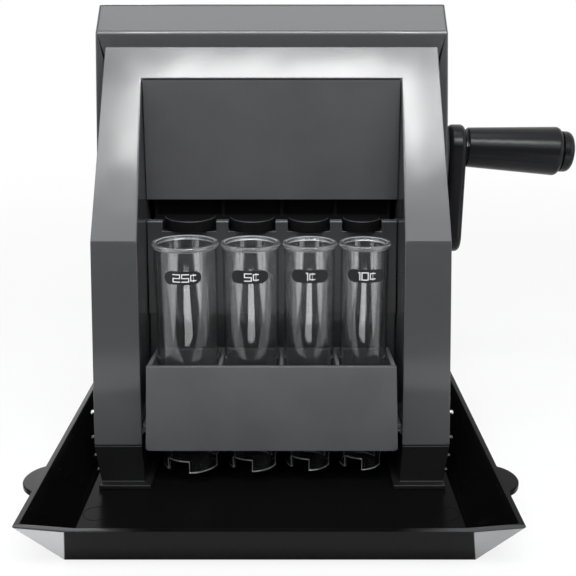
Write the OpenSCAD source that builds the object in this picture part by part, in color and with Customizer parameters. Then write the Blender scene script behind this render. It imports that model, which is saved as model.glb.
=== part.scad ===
// Hand-crank coin sorter. Millimetres, +X to the crank side, +Y to the back, +Z up.
// The origin is the middle of the tray's underside, on the table.

/* [Coins] */
// Diameter of the largest coin, for the tube marked 25
coin_25_d = 24.26; // [23:0.01:26]
// Diameter of the coin for the tube marked 5
coin_5_d = 21.21; // [20.2:0.01:22.5]
// Diameter of the coin for the tube marked 1
coin_1_d = 19.05; // [18.2:0.01:20]
// Diameter of the smallest coin, for the tube marked 10
coin_10_d = 17.91; // [17:0.01:18.8]

/* [Coin tubes] */
// Room between a coin's edge and its tube
coin_play = 0.4; // [0.2:0.05:0.7]
// Wall of a tube
tube_wall = 1.1; // [0.8:0.1:1.5]
// How far the rim bead stands out from the tube
bead_out = 0.7; // [0.4:0.1:0.9]
// Height of the rim bead
bead_h = 2.4; // [1.6:0.2:4]
// Space between neighbouring tubes
tube_gap = 2.2; // [1.9:0.1:3]
// Height of the tube rims above the table
tube_top_z = 114; // [108:0.5:114.4]
// Height of the shoulder that each tube stands on
tube_shoulder_z = 26.3; // [25:0.1:34]
// How far the narrower skirt reaches below the shoulder
skirt_h = 10.1; // [6:0.1:11]
// How far the skirt's side is set in from the tube
skirt_set_in = 0.8; // [0.5:0.1:1]
// Width of the inner ledge that carries the coins
coin_ledge = 1.8; // [1:0.1:3]
// Height of the three tabs under each skirt
tab_h = 5.4; // [3:0.1:6]
// Angle that each tab spans
tab_angle = 70; // [40:1:100]
// Width of the oval number plate on each tube
label_w = 15.5; // [12:0.1:16]
// Height of the number plate
label_h = 5.6; // [4:0.1:8]
// Thickness of the number plate
label_t = 0.3; // [0.2:0.05:0.5]
// Height of the number plate's middle
label_z = 101.4; // [80:0.2:106]

/* [Tube rack] */
// Depth from the middle of the tubes to the rack's front face
rack_front_reach = 16.3; // [15.8:0.1:20]
// Wall of the rack
rack_wall = 2; // [1.4:0.1:2.6]
// Thickness of the rack's back wall
rack_back_wall = 2.4; // [1.6:0.1:2.6]
// Thickness of the partitions between the tubes
partition_t = 1.6; // [1:0.1:1.7]
// Room between a tube and the rack's side walls
rack_side_room = 0.9; // [0.4:0.1:1.4]
// Room between the largest tube and the rack's back wall
rack_back_room = 0.5; // [0.3:0.1:0.8]
// Thickness of the rack's floor
rack_floor_t = 2; // [1.5:0.1:3]
// Height of the rack's front edge
rack_top_z = 63; // [50:0.5:75]
// How much lower the back edge is than the front edge
rack_top_fall = 3; // [0:0.5:6]
// How far the front wall hangs below the rack's floor
rack_apron = 0.8; // [0:0.1:2]
// How far the side walls lean out from top to bottom
rack_draft = 1.9; // [0:0.1:2.2]
// Corner radius of the front wall's lower edge
rack_corner_r = 2; // [0.5:0.1:4]
// Height of the runners that carry the rack
runner_z = 30; // [28:0.5:45]
// Thickness of a runner and of the rack's flange on it
runner_t = 2; // [1.5:0.1:3]

/* [Front arch] */
// Where the upright face of the arch's legs lies, in front of the origin
arch_front = 31; // [29:0.5:36]
// Where the arch meets the housing, behind the origin
arch_back = 11; // [11:0.5:14]
// Height of the crease where the face starts to lean back
chest_z = 115.5; // [105:0.5:118]
// Height of the arch's top
arch_top_z = 194; // [190:0.5:197]
// Where the leaning face ends at the top, behind the origin
arch_top_y = 3.5; // [2:0.1:8]
// How far the legs stay in from the edges of the tray's underside
arch_foot_in = 1.7; // [0.5:0.1:5]
// Width over the arch at the crease
arch_chest_w = 151; // [146:0.5:154]
// Width over the arch at the top
arch_top_w = 143; // [138:0.5:148]
// Width of the opening at the bottom
opening_foot_w = 116; // [114:0.5:119]
// Width of the opening at the crease
opening_chest_w = 112; // [111:0.5:115]
// Width of the opening at its top
opening_top_w = 111.2; // [110:0.2:113]
// Height of the opening's top
opening_top_z = 180.6; // [176:0.2:184]
// Wall of the arch
arch_wall = 2.5; // [1.8:0.1:3]

/* [Panel, backplate and chutes] */
// Thickness of the upright front panel
panel_t = 2.2; // [1.5:0.1:3]
// Height of the panel's lower edge, above the coin slot
panel_low_z = 128.6; // [126:0.1:132]
// Height of the backplate's top edge, below the coin slot
plate_top_z = 119.3; // [118.6:0.1:121]
// Thickness of the backplate
plate_t = 4.4; // [3.5:0.1:4.6]
// Height of the step in the backplate
plate_step_z = 75.8; // [66:0.2:90]
// Depth of the step in the backplate
plate_step = 2.6; // [1:0.1:2.8]
// How far the chute lips reach in front of the backplate
lip_reach = 3.8; // [2:0.1:6]
// Thickness of the chute lips
lip_t = 4.4; // [3:0.1:4.5]
// How far the front edge of a lip stands over the backplate
lip_step = 0.25; // [0:0.05:0.5]
// Angle that the lips slope down to the front
lip_tilt = 4.5; // [2:0.5:6]
// Width of the ledge inside the opening that the plates lean on
seat_w = 2; // [1.4:0.1:3]
// Depth of the chutes from the plates to the sorting rail
chute_d = 6.8; // [5:0.1:7]
// How much the chute floors rise to the back
chute_rise = 2; // [1.5:0.1:6]
// Thickness of the sorting rail's plate
rail_t = 1.6; // [1.2:0.1:2]
// Angle that the coins roll down along the rail
rail_slope = 4.9; // [2:0.1:6]
// Height of the coin windows over the backplate
window_rise = 6.7; // [6.5:0.1:9]
// Room over each coin in its window
window_room = 0.6; // [0.3:0.1:0.9]

/* [Housing] */
// Width of the housing up to its shoulders
housing_w = 160; // [157:0.5:164]
// Width of the housing at its top
housing_top_w = 153.2; // [148:0.2:157]
// Height of the shoulders, where the housing's sides start to draw in
shoulder_z = 140; // [130:0.5:160]
// Where the housing's back lies, behind the origin
housing_back = 80; // [78:0.5:83]
// Height of the housing's top
housing_top_z = 212; // [208:0.5:224]
// Height of the crease at the housing's front
housing_crease_z = 200; // [198:0.5:203]
// How far the face slopes back from the crease to the top
housing_slope = 9.5; // [4:0.5:12]
// Wall of the housing
housing_wall = 2.5; // [2:0.1:3]
// Width of the coin opening in the top
hopper_w = 120; // [90:1:128]
// Depth of the coin opening in the top
hopper_d = 46; // [30:1:47]
// Thickness of the rear cover
cover_t = 2.4; // [1.8:0.1:3]

/* [Base and tray] */
// Height of the seam between the black base and the grey body
seam_z = 22.7; // [18:0.1:24]
// How far the base's feet draw in from the tray's walls
base_draw = 1; // [0:0.1:3]
// Width of the base's flange on the floor
base_flange = 3.8; // [2:0.1:5]
// Thickness of the base's flange
base_flange_t = 2.2; // [1.4:0.1:4]
// Width of the tray's underside
tray_base_w = 162; // [158:1:190]
// Depth of the tray's underside
tray_base_d = 170; // [166:1:200]
// Height of the tray
tray_h = 22; // [18:0.5:22.4]
// How far each side wall leans out
tray_flare_w = 15.5; // [6:0.5:20]
// How far the front and back walls lean out
tray_flare_d = 15; // [6:0.5:20]
// Wall of the tray
tray_wall = 2.4; // [1.6:0.1:3]
// Thickness of the tray's floor
tray_floor_t = 3; // [2.6:0.1:4]
// Length of each finger ear on the tray's rim
ear_l = 22; // [18:0.5:32]
// How far each ear stands out
ear_out = 6; // [4:0.5:10]
// Place of the ears in front of the origin
ear_y = 59.5; // [45:0.5:70]
// Width of the facet at each front corner of the tray's rim
facet_w = 20.5; // [12:0.5:26]
// How far the rim's front corners stand back
facet_back = 3; // [1:0.1:5]

/* [Crank] */
// Height of the crank's axis
crank_z = 105.6; // [100:0.2:110]
// Place of the crank's axis behind the origin
crank_y = 34; // [33:0.2:36]
// Distance from the crank's axis to the grip's axis
crank_throw = 41.9; // [34:0.1:48]
// Radius of the arm's end at the grip
arm_end_r = 10.7; // [10:0.1:13]
// Radius of the arm's end at the shaft
arm_hub_r = 9; // [7.5:0.1:10]
// Thickness of the arm
arm_t = 8.1; // [7:0.1:12]
// Rounding of the arm's edges
arm_round = 2.4; // [1:0.1:3]
// Space between the housing and the arm
arm_gap = 2.8; // [2.7:0.1:6]
// Radius of the crank shaft
shaft_r = 4; // [3.4:0.1:4.5]
// Length of the grip
grip_l = 44.5; // [36:0.5:60]
// Angle that the grip's axis droops outwards
grip_lean = 2.6; // [0:0.1:4]
// Radius of the grip at the arm
grip_in_r = 9.3; // [8:0.1:11]
// Radius of the grip at its outer end
grip_out_r = 11.6; // [9:0.1:13]
// Rounding of the grip's outer edge
grip_round = 2.4; // [1:0.1:3]
// Radius of the grip's pin
grip_pin_r = 3; // [2.4:0.1:3.6]
// Radius of the cap on the pin's end
cap_r = 9.6; // [7:0.1:11]
// Length of the cap
cap_l = 5.1; // [4:0.1:8]

/* [Coin disc and gear] */
// Radius of the coin disc
disc_r = 30; // [29:0.1:31]
// Thickness of the coin disc
disc_t = 4; // [3:0.1:5]
// Slope of the hopper's deck
deck_slope = 45; // [42:0.5:48]
// Place of the disc's axis to the right of the middle
disc_x = 10; // [4:0.5:12]
// Radius of the circle of drive pegs
peg_circle_r = 27; // [26:0.1:27.4]
// Radius of a drive peg
peg_r = 1.2; // [0.9:0.05:1.3]
// How far the pegs and teeth reach past the pitch line
tooth_reach = 1.9; // [1.4:0.1:2.1]
// Half the thickness of a pinion tooth at the pitch line
tooth_half_t = 1.3; // [1:0.05:1.35]
// Width of the pinion
pinion_w = 4; // [3:0.1:5]
// Number of agitator studs on the disc
stud_count = 5; // [3:1:8]
// Radius of the disc's spindle
spindle_r = 3; // [2.4:0.1:3.5]
// Height of the nut on the spindle
disc_nut_h = 5; // [4:0.1:7]

/* [Fits] */
// Gap between flat pieces that stand beside each other
seat_clear = 0.2; // [0.1:0.05:0.4]
// Gap under a sliding piece and round the tubes
slide_clear = 0.3; // [0.2:0.05:0.5]
// Radial clearance of a turning fit
run_clear = 0.05; // [0.02:0.01:0.09]
// Radial clearance round a fixed pin or screw
fixed_clear = 0.05; // [0.02:0.01:0.1]
// Radius of a screw's shank
screw_r = 1.4; // [1:0.1:1.7]
// Radius of a screw's head
screw_head_r = 2.8; // [2.2:0.1:3.2]
// Height of a screw's head
screw_head_h = 1.6; // [1:0.1:2]
// How deep a screw bites into its boss
screw_bite = 8; // [6:0.5:9]
// Radius of the shank of a leg screw
leg_screw_r = 0.7; // [0.5:0.1:1]
// Radius of the head of a leg screw
leg_screw_head_r = 1.05; // [0.9:0.05:1.4]
// Height of the head of a leg screw
leg_screw_head_h = 1.8; // [1:0.1:2.4]
// Length of the shank of a leg screw
leg_screw_l = 6; // [4:0.5:8]

/* [Hidden] */
$fn = 64;
eps = 0.01;
far = 400;

// Tubes stand side by side in the order of their numbers, largest coin on the left
coins = [coin_25_d, coin_5_d, coin_1_d, coin_10_d];
tube_in = [for (d = coins) d / 2 + coin_play];
tube_out = [for (r = tube_in) r + tube_wall];
function width_before(i) = i == 0 ? 0 : width_before(i - 1) + 2 * tube_out[i - 1] + tube_gap;
tubes_w = width_before(3) + 2 * tube_out[3];
tube_x = [for (i = [0 : 3]) width_before(i) + tube_out[i] - tubes_w / 2];
tab_low_z = tube_shoulder_z - skirt_h - tab_h;
tab_count = 3;
skirt_wall = 1.2;
ledge_t = 1.6;
rim_cut = 0.6;

// Depths, from the plates forward
plate_back_y = 0;
plate_front_y = plate_back_y - plate_t;
panel_front_y = plate_back_y - panel_t;
rack_back_y = plate_front_y - slide_clear * 2;
rack_inner_back_y = rack_back_y - rack_back_wall;
tube_y = rack_inner_back_y - rack_back_room - tube_out[0];
rack_front_y = tube_y - rack_front_reach;
rack_side = tubes_w / 2 + rack_side_room + rack_wall;
rack_floor_z = tube_shoulder_z - rack_floor_t;
rack_low_z = rack_floor_z - rack_apron;
runner_front_y = 2 - arch_front;

arch_foot_w = tray_base_w - 2 * arch_foot_in;

// Half width of the arch's outside and of its opening at a height
function between(z, z0, a, z1, b) = a + (b - a) * (z - z0) / (z1 - z0);
function arch_half(z) = z < chest_z
    ? between(z, seam_z, arch_foot_w, chest_z, arch_chest_w) / 2
    : between(z, chest_z, arch_chest_w, arch_top_z, arch_top_w) / 2;
function opening_half(z) = z < chest_z
    ? between(z, seam_z, opening_foot_w, chest_z, opening_chest_w) / 2
    : between(z, chest_z, opening_chest_w, opening_top_z, opening_top_w) / 2;
lean = atan((arch_top_y + arch_front) / (arch_top_z - chest_z));
chest_drop = arch_wall * (1 - cos(lean)) / sin(lean);

// The plates' clear half width between the opening's cheeks
chute_half = opening_half(opening_top_z) - seat_w - seat_clear * 2;
rail_y = plate_back_y + chute_d;
chute_back_z = plate_top_z + chute_rise;
lip_r = [for (d = coins) d / 2 - 0.5];
lip_tip_y = plate_front_y - lip_reach;
rail_top_z = opening_top_z - 5;
window_z = plate_top_z + window_rise;

// Housing
housing_half = housing_w / 2;
inner_half = housing_half - housing_wall;
function side_half(z) = z < shoulder_z
    ? housing_half
    : between(z, shoulder_z, housing_w, housing_top_z, housing_top_w) / 2;
slope_angle = atan(housing_slope / (housing_top_z - housing_crease_z));
cover_front_y = housing_back - cover_t;
cover_ledge = 2;
cover_boss_r = 4.4;
function cover_boss_x(z) = side_half(z) - housing_wall - cover_boss_r + 0.8;
cover_boss_z = [seam_z + 12, housing_top_z - housing_wall - 10];
window_half = opening_half(seam_z) - 1;
window_top_z = opening_top_z + arch_wall + 1;

// Base
base_inner_half = opening_half(seam_z);
base_toe = 0.8;
base_foot_half = tray_base_w / 2 - tray_wall - base_draw - base_toe;
leg_boss_r = 3.6;
leg_boss_x = (arch_half(chest_z) + opening_half(chest_z)) / 2;
leg_boss_rise = 18;
leg_boss_drop = 28;
leg_boss_z = [seam_z + leg_boss_rise, arch_top_z - leg_boss_drop];
leg_screw_in = 4;
leg_screw_y = -arch_front + leg_screw_in;
leg_screw_rise = [14.5, 2.2];
leg_screw_z = [for (r = leg_screw_rise) seam_z + r];
foot_screw_drop = [6.7, 13.8];
foot_screw_z = [for (d = foot_screw_drop) seam_z - d];
tray_screw_front = 14;
tray_screw_rear = 12;
tray_screw_xy = [for (x = [-1, 1], y = [-arch_front + tray_screw_front, housing_back - tray_screw_rear])
    [x * (base_inner_half + base_foot_half) / 2, y]];

// Crank
arm_in_x = housing_half + arm_gap;
arm_out_x = arm_in_x + arm_t;
grip_z = crank_z + crank_throw;
grip_start = 0.5 + grip_in_r * sin(grip_lean);
cap_start = grip_start + grip_l + 0.8;
pin_depth = arm_t - 2.1;
bearing_r = shaft_r + 2.5;
bearing_flange_r = bearing_r + 3.5;
bearing_flange_t = 1.6;
bearing_in_x = inner_half - 4.5;
nut_t = 3;
washer_t = 1;
clip_t = 1;
clip_x = bearing_in_x - 0.2 - clip_t;
shaft_end_x = arm_out_x - 3.2;

// Disc frame: the crank's axis is its X axis and the disc's axis is its Z axis.
// The crank turns three times for one turn of the disc.
pinion_teeth = 8;
gear_ratio = 3;
pitch_r = peg_circle_r / gear_ratio;
peg_count = pinion_teeth * gear_ratio;
pinion_out_r = pitch_r + tooth_reach;
disc_low = pinion_out_r + 2;
disc_high = disc_low + disc_t;
deck_t = disc_t + 0.4;
deck_high = disc_high;
deck_low = deck_high - deck_t;
peg_tip = pitch_r - tooth_reach;
bridge_high = peg_tip - 2;
bridge_low = bridge_high - 8;
bridge_turn = 38;
bridge_arm_r = 4.5;
bridge_post_l = disc_r + 5.5;
disc_hub_r = 7;
bush_r = spindle_r + 2;
bush_flange_r = bush_r + 1.6;
bush_flange_t = 1.2;
bridge_boss_r = bush_flange_r + 2;
inner_bearing_x = [disc_hub_r + 0.8, disc_hub_r + 13];
inner_bearing_r = shaft_r + 3.2;
spindle_low = bridge_low - 3.4;

// Hopper bin
bin_wall = 2;
bin_half = hopper_w / 2 + bin_wall;
bin_back_y = cover_front_y - cover_ledge - 0.4;
bin_front_y = arch_back + housing_wall + 2.5;
bin_top_z = housing_top_z - housing_wall;
function deck_z(y, up) = crank_z + up / cos(deck_slope) - (y - crank_y) * tan(deck_slope);
hopper_back_y = bin_back_y - bin_wall;
hopper_front_y = hopper_back_y - hopper_d;

body_grey = [0.36, 0.37, 0.38];
panel_grey = [0.30, 0.30, 0.31];
rack_grey = [0.33, 0.335, 0.34];
plate_grey = [0.18, 0.185, 0.2];
gloss_black = [0.04, 0.04, 0.045];
satin_black = [0.12, 0.12, 0.13];
clear_grey = [0.85, 0.9, 0.92, 0.35];
steel = [0.72, 0.73, 0.75];
nylon = [0.86, 0.85, 0.8];

// Extrudes an outline drawn in Y and Z along X
module along_x(x0, x1) {
    translate([x0, 0, 0])
        rotate([90, 0, 90])
            linear_extrude(height = x1 - x0)
                children();
}

// Extrudes an outline drawn in X and Z along Y
module along_y(y0, y1) {
    translate([0, y1, 0])
        rotate([90, 0, 0])
            linear_extrude(height = y1 - y0)
                children();
}

// A rod or drill along X
module rod_x(x0, x1, r, y = 0, z = 0) {
    translate([x0, y, z])
        rotate([0, 90, 0])
            cylinder(h = x1 - x0, r = r);
}

// A rod or drill along Y
module rod_y(y0, y1, r, x = 0, z = 0) {
    translate([x, y0, z])
        rotate([-90, 0, 0])
            cylinder(h = y1 - y0, r = r);
}

// A rod or drill along Z
module rod_z(z0, z1, r, x = 0, y = 0) {
    translate([x, y, z0])
        cylinder(h = z1 - z0, r = r);
}

module box(low, high) {
    translate(low)
        cube(high - low);
}

module both_sides() {
    children();
    mirror([1, 0, 0])
        children();
}

// Places things in the disc's leaning frame, with the crank's axis along X
module disc_frame(x = disc_x) {
    translate([x, crank_y, crank_z])
        rotate([-deck_slope, 0, 0])
            children();
}

// Outline of a screw turned about its axis: the head above zero and the shank below
module screw(length, head_r = screw_head_r, head_h = screw_head_h, shank_r = screw_r) {
    rotate_extrude()
        union() {
            translate([0, -length])
                square([shank_r, length + eps]);
            square([head_r, head_h * 0.6]);
            translate([0, head_h * 0.6])
                square([head_r - head_h * 0.4, head_h * 0.4]);
        }
}

// A turned cap that stands on zero, with its outer edge rounded
module turned_cap(r, h, round_r) {
    rotate_extrude()
        union() {
            square([r, h - round_r]);
            square([r - round_r, h]);
            translate([r - round_r, h - round_r])
                intersection() {
                    circle(r = round_r);
                    square(round_r);
                }
        }
}

// Tray
module tray_outline_front(inset, low, high) {
    slope = tray_flare_w / tray_h;
    a = tray_base_w / 2 - inset + low * slope;
    b = tray_base_w / 2 - inset + high * slope;
    polygon([[-a, low], [a, low], [b, high], [-b, high]]);
}

module tray_outline_side(inset, low, high) {
    slope = tray_flare_d / tray_h;
    a = tray_base_d / 2 - inset + low * slope;
    b = tray_base_d / 2 - inset + high * slope;
    polygon([[-a, low], [a, low], [b, high], [-b, high]]);
}

// Everything beyond the facet at the right front corner
module beyond_facet(inset) {
    turn = atan(facet_back / facet_w);
    run = facet_w - tray_flare_w;
    lean_out = run * sin(turn) - tray_flare_d * cos(turn);
    translate([tray_base_w / 2, -tray_base_d / 2, 0])
        rotate([0, 0, turn])
            rotate([atan(-lean_out / tray_h), 0, 0])
                translate([-far / 2, inset - far, -far / 2])
                    cube(far);
}

module tray_block(inset, low, high) {
    difference() {
        intersection() {
            along_y(-far, far)
                tray_outline_front(inset, low, high);
            along_x(-far, far)
                tray_outline_side(inset, low, high);
        }
        both_sides()
            beyond_facet(inset);
    }
}

module tray_ear() {
    ear_t = 2.4;
    ear_r = (ear_l * ear_l / 4 + ear_out * ear_out) / (2 * ear_out);
    ear_x = tray_base_w / 2 + tray_flare_w + ear_out - ear_r;
    rod_z(tray_h - ear_t, tray_h, ear_r, ear_x, -ear_y);
}

module tray() {
    pocket_h = screw_head_h + 0.2;
    color(gloss_black)
        difference() {
            union() {
                tray_block(0, 0, tray_h);
                both_sides()
                    tray_ear();
            }
            tray_block(tray_wall, tray_floor_t, tray_h + 1);
            for (p = tray_screw_xy) {
                rod_z(-1, pocket_h, screw_head_r + 0.2, p[0], p[1]);
                rod_z(0, tray_floor_t + 1, screw_r + 0.2, p[0], p[1]);
            }
        }
}

module tray_screws() {
    color(steel)
        for (p = tray_screw_xy)
            translate([p[0], p[1], screw_head_h + 0.2])
                mirror([0, 0, 1])
                    screw(tray_floor_t - screw_head_h - 0.2 + screw_bite);
}

// Base
module base_sill() {
    low = tray_floor_t;
    along_y(-arch_front, housing_back)
        polygon([[base_inner_half, seam_z], [arch_half(seam_z), seam_z], [base_foot_half, low],
            [base_inner_half - 0.6, low]]);
    box([base_inner_half - base_flange, -arch_front - base_flange, low],
        [base_foot_half + base_toe, housing_back, low + base_flange_t]);
}

module base_frame() {
    rear_beam = 12;
    color(satin_black)
        difference() {
            union() {
                both_sides()
                    base_sill();
                box([-base_inner_half - eps, housing_back - rear_beam, tray_floor_t],
                    [base_inner_half + eps, housing_back, seam_z]);
            }
            both_sides()
                for (z = foot_screw_z)
                    rod_x(base_foot_half - leg_screw_l - 1, far, leg_screw_r + fixed_clear, leg_screw_y, z);
            for (p = tray_screw_xy)
                rod_z(tray_floor_t - 1, tray_floor_t + screw_bite + 1, screw_r + fixed_clear, p[0], p[1]);
        }
}

// Front arch
module arch_outline(inset) {
    f = arch_foot_w / 2 - inset;
    c = arch_chest_w / 2 - inset;
    t = arch_top_w / 2 - inset;
    low = seam_z - (inset > 0 ? 1 : 0);
    high = arch_top_z - inset;
    polygon([[-f, low], [f, low], [c, chest_z], [t, high], [-t, high], [-c, chest_z]]);
}

module opening_outline(grow, low = seam_z - 2) {
    f = opening_half(low) + grow;
    c = opening_half(chest_z) + grow;
    t = opening_half(opening_top_z) + grow;
    high = opening_top_z + grow;
    polygon([[-f, low], [f, low], [c, chest_z], [t, high], [-t, high], [-c, chest_z]]);
}

module arch_block() {
    intersection() {
        along_x(-far, far)
            polygon([[arch_back, seam_z], [-arch_front, seam_z], [-arch_front, chest_z],
                [arch_top_y, arch_top_z], [arch_back, arch_top_z]]);
        along_y(-far, far)
            difference() {
                arch_outline(0);
                opening_outline(0);
            }
    }
}

module arch_core() {
    low = seam_z - 1;
    high = arch_top_z - arch_wall;
    top_y = arch_top_y - arch_wall * tan(lean) + arch_wall / cos(lean);
    intersection() {
        along_x(-far, far)
            polygon([[arch_back + 1, low], [-arch_front + arch_wall, low],
                [-arch_front + arch_wall, chest_z - chest_drop], [top_y, high], [arch_back + 1, high]]);
        along_y(-far, far)
            difference() {
                arch_outline(arch_wall);
                opening_outline(arch_wall, seam_z - 3);
            }
    }
}

// Ledge round the opening that the panel and the backplate lean on
module plate_seat() {
    seat_d = 2;
    along_y(plate_back_y, plate_back_y + seat_d)
        difference() {
            intersection() {
                opening_outline(eps, seam_z);
                translate([-far, seam_z])
                    square([2 * far, far]);
            }
            opening_outline(-seat_w, seam_z - 5);
            translate([-far, plate_top_z])
                square([2 * far, panel_low_z - plate_top_z]);
        }
}

// Runner on the cheek that the rack's flange slides on
module rack_runner() {
    low = runner_z - runner_t;
    out_low = opening_half(low) + eps;
    out_high = opening_half(runner_z) + eps;
    in = rack_side + rack_draft + slide_clear;
    along_y(runner_front_y, plate_front_y)
        polygon([[in, low], [out_low, low], [out_high, runner_z], [in, runner_z]]);
}

module front_arch() {
    boss_depth = screw_bite + 2;
    color(body_grey)
        difference() {
            union() {
                difference() {
                    arch_block();
                    arch_core();
                }
                plate_seat();
                both_sides()
                    rack_runner();
                intersection() {
                    arch_block();
                    both_sides()
                        for (z = leg_boss_z)
                            rod_y(-far, arch_back, leg_boss_r, leg_boss_x, z);
                }
            }
            both_sides() {
                for (z = leg_boss_z)
                    rod_y(arch_back - boss_depth, far, screw_r + fixed_clear, leg_boss_x, z);
                for (z = leg_screw_z)
                    rod_x(arch_half(z) - leg_screw_l - 1, far, leg_screw_r + fixed_clear, leg_screw_y, z);
            }
        }
}

// Screws that hold the arch to the housing's front wall, from inside
module arch_screws() {
    color(steel)
        both_sides()
            for (z = leg_boss_z)
                translate([leg_boss_x, arch_back + housing_wall, z])
                    rotate([-90, 0, 0])
                        screw(housing_wall + screw_bite);
}

// Small screws up the outer side of each leg and foot
module leg_screws() {
    foot_slope = (arch_half(seam_z) - base_foot_half) / (seam_z - tray_floor_t);
    color(steel)
        both_sides() {
            for (z = leg_screw_z)
                translate([arch_half(z) + 0.1, leg_screw_y, z])
                    rotate([0, 90, 0])
                        screw(leg_screw_l, leg_screw_head_r, leg_screw_head_h, leg_screw_r);
            for (z = foot_screw_z)
                translate([arch_half(seam_z) - foot_slope * (seam_z - z - leg_screw_head_r), leg_screw_y, z])
                    rotate([0, 90, 0])
                        screw(leg_screw_l, leg_screw_head_r, leg_screw_head_h, leg_screw_r);
        }
}

// Housing
module housing_outline() {
    polygon([[arch_back, seam_z], [arch_back, housing_crease_z],
        [arch_back + housing_slope, housing_top_z], [housing_back, housing_top_z], [housing_back, seam_z]]);
}

// Front view of the housing, inset from its sides
module housing_front_outline(inset, low, high) {
    a = housing_half - inset;
    b = side_half(high) - inset;
    polygon([[-a, low], [a, low], [a, shoulder_z], [b, high], [-b, high], [-a, shoulder_z]]);
}

module housing_inner_outline() {
    front = arch_back + housing_wall;
    top = housing_top_z - housing_wall;
    slope_in = housing_wall / cos(slope_angle);
    knee_z = housing_crease_z + (housing_wall - slope_in) / tan(slope_angle);
    top_y = arch_back + slope_in + (top - housing_crease_z) * tan(slope_angle);
    polygon([[front, seam_z - 1], [front, knee_z], [top_y, top], [housing_back + 1, top],
        [housing_back + 1, seam_z - 1]]);
}

module cover_ledges() {
    y0 = cover_front_y - cover_ledge;
    top = housing_top_z - housing_wall;
    along_y(y0, cover_front_y)
        difference() {
            housing_front_outline(housing_wall - eps, seam_z, top + eps);
            housing_front_outline(housing_wall + cover_ledge, seam_z - 1, top - cover_ledge);
        }
    both_sides()
        for (z = cover_boss_z)
            rod_y(cover_front_y - screw_bite - 4, cover_front_y, cover_boss_r, cover_boss_x(z), z);
}

module housing() {
    color(body_grey)
        difference() {
            union() {
                difference() {
                    intersection() {
                        along_x(-far, far)
                            housing_outline();
                        along_y(-far, far)
                            housing_front_outline(0, seam_z, housing_top_z);
                    }
                    intersection() {
                        along_x(-far, far)
                            housing_inner_outline();
                        along_y(-far, far)
                            housing_front_outline(housing_wall, seam_z - 1, housing_top_z);
                    }
                }
                cover_ledges();
            }
            box([-window_half, arch_back - 1, seam_z - 1], [window_half, arch_back + housing_wall + 1, window_top_z]);
            box([-hopper_w / 2, hopper_front_y, bin_top_z - 1], [hopper_w / 2, hopper_back_y, housing_top_z + 1]);
            rod_x(inner_half - 1, far, bearing_r + fixed_clear, crank_y, crank_z);
            both_sides() {
                for (z = leg_boss_z)
                    rod_y(arch_back - 1, arch_back + housing_wall + 1, screw_r + 0.2, leg_boss_x, z);
                for (z = cover_boss_z)
                    rod_y(cover_front_y - screw_bite - 2, far, screw_r + fixed_clear, cover_boss_x(z), z);
            }
        }
}

module rear_cover() {
    color(body_grey)
        difference() {
            along_y(cover_front_y, housing_back)
                housing_front_outline(housing_wall + seat_clear, seam_z, housing_top_z - housing_wall - seat_clear);
            both_sides()
                for (z = cover_boss_z)
                    rod_y(0, far, screw_r + 0.2, cover_boss_x(z), z);
        }
}

module rear_cover_screws() {
    color(steel)
        both_sides()
            for (z = cover_boss_z)
                translate([cover_boss_x(z), housing_back, z])
                    rotate([-90, 0, 0])
                        screw(cover_t + screw_bite);
}

// Plates in the opening
module front_panel() {
    high = opening_top_z - seat_clear;
    a = opening_half(panel_low_z) - seat_clear;
    b = opening_half(high) - seat_clear;
    color(panel_grey)
        along_y(panel_front_y, plate_back_y)
            polygon([[-a, panel_low_z], [a, panel_low_z], [b, high], [-b, high]]);
}

module plate_outline(low, high) {
    a = opening_half(low) - seat_clear;
    c = opening_half(chest_z) - seat_clear;
    b = opening_half(high) - seat_clear;
    polygon([[-a, low], [a, low], [c, chest_z], [b, high], [-b, high], [-c, chest_z]]);
}

module tube_backplate() {
    notch_low = plate_top_z - lip_t - slide_clear;
    color(plate_grey)
        difference() {
            along_y(plate_front_y, plate_back_y)
                plate_outline(seam_z, plate_top_z);
            box([-far, plate_front_y - 1, seam_z - 1], [far, plate_front_y + plate_step, plate_step_z]);
            for (i = [0 : 3])
                box([tube_x[i] - lip_r[i] - slide_clear, plate_front_y - 1, notch_low],
                    [tube_x[i] + lip_r[i] + slide_clear, plate_back_y + 1, plate_top_z + 1]);
        }
}

// Black chutes with a round lip over each tube
module chute_block() {
    rib_t = 1.6;
    rib_d = 3.2;
    low = plate_top_z - lip_t;
    front = plate_back_y + seat_clear;
    edges = [-chute_half, for (i = [0 : 2]) tube_x[i] + tube_out[i] + tube_gap / 2 - rib_t / 2,
        chute_half - rib_t];
    color(gloss_black)
        union() {
            along_x(-chute_half, chute_half)
                polygon([[front, low], [rail_y, low], [rail_y, chute_back_z], [front, plate_top_z]]);
            for (i = [0 : 3])
                intersection() {
                    rod_z(low, plate_top_z + lip_t, lip_r[i], tube_x[i], lip_tip_y + lip_r[i]);
                    translate([0, lip_tip_y, plate_top_z + lip_step])
                        rotate([lip_tilt, 0, 0])
                            box([-far, -far, -far], [far, far, 0]);
                    box([-far, -far, 0], [far, rail_y, far]);
                }
            for (x = edges)
                box([x, rail_y - rib_d, low], [x + rib_t, rail_y, panel_low_z - seat_clear]);
        }
}

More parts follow.
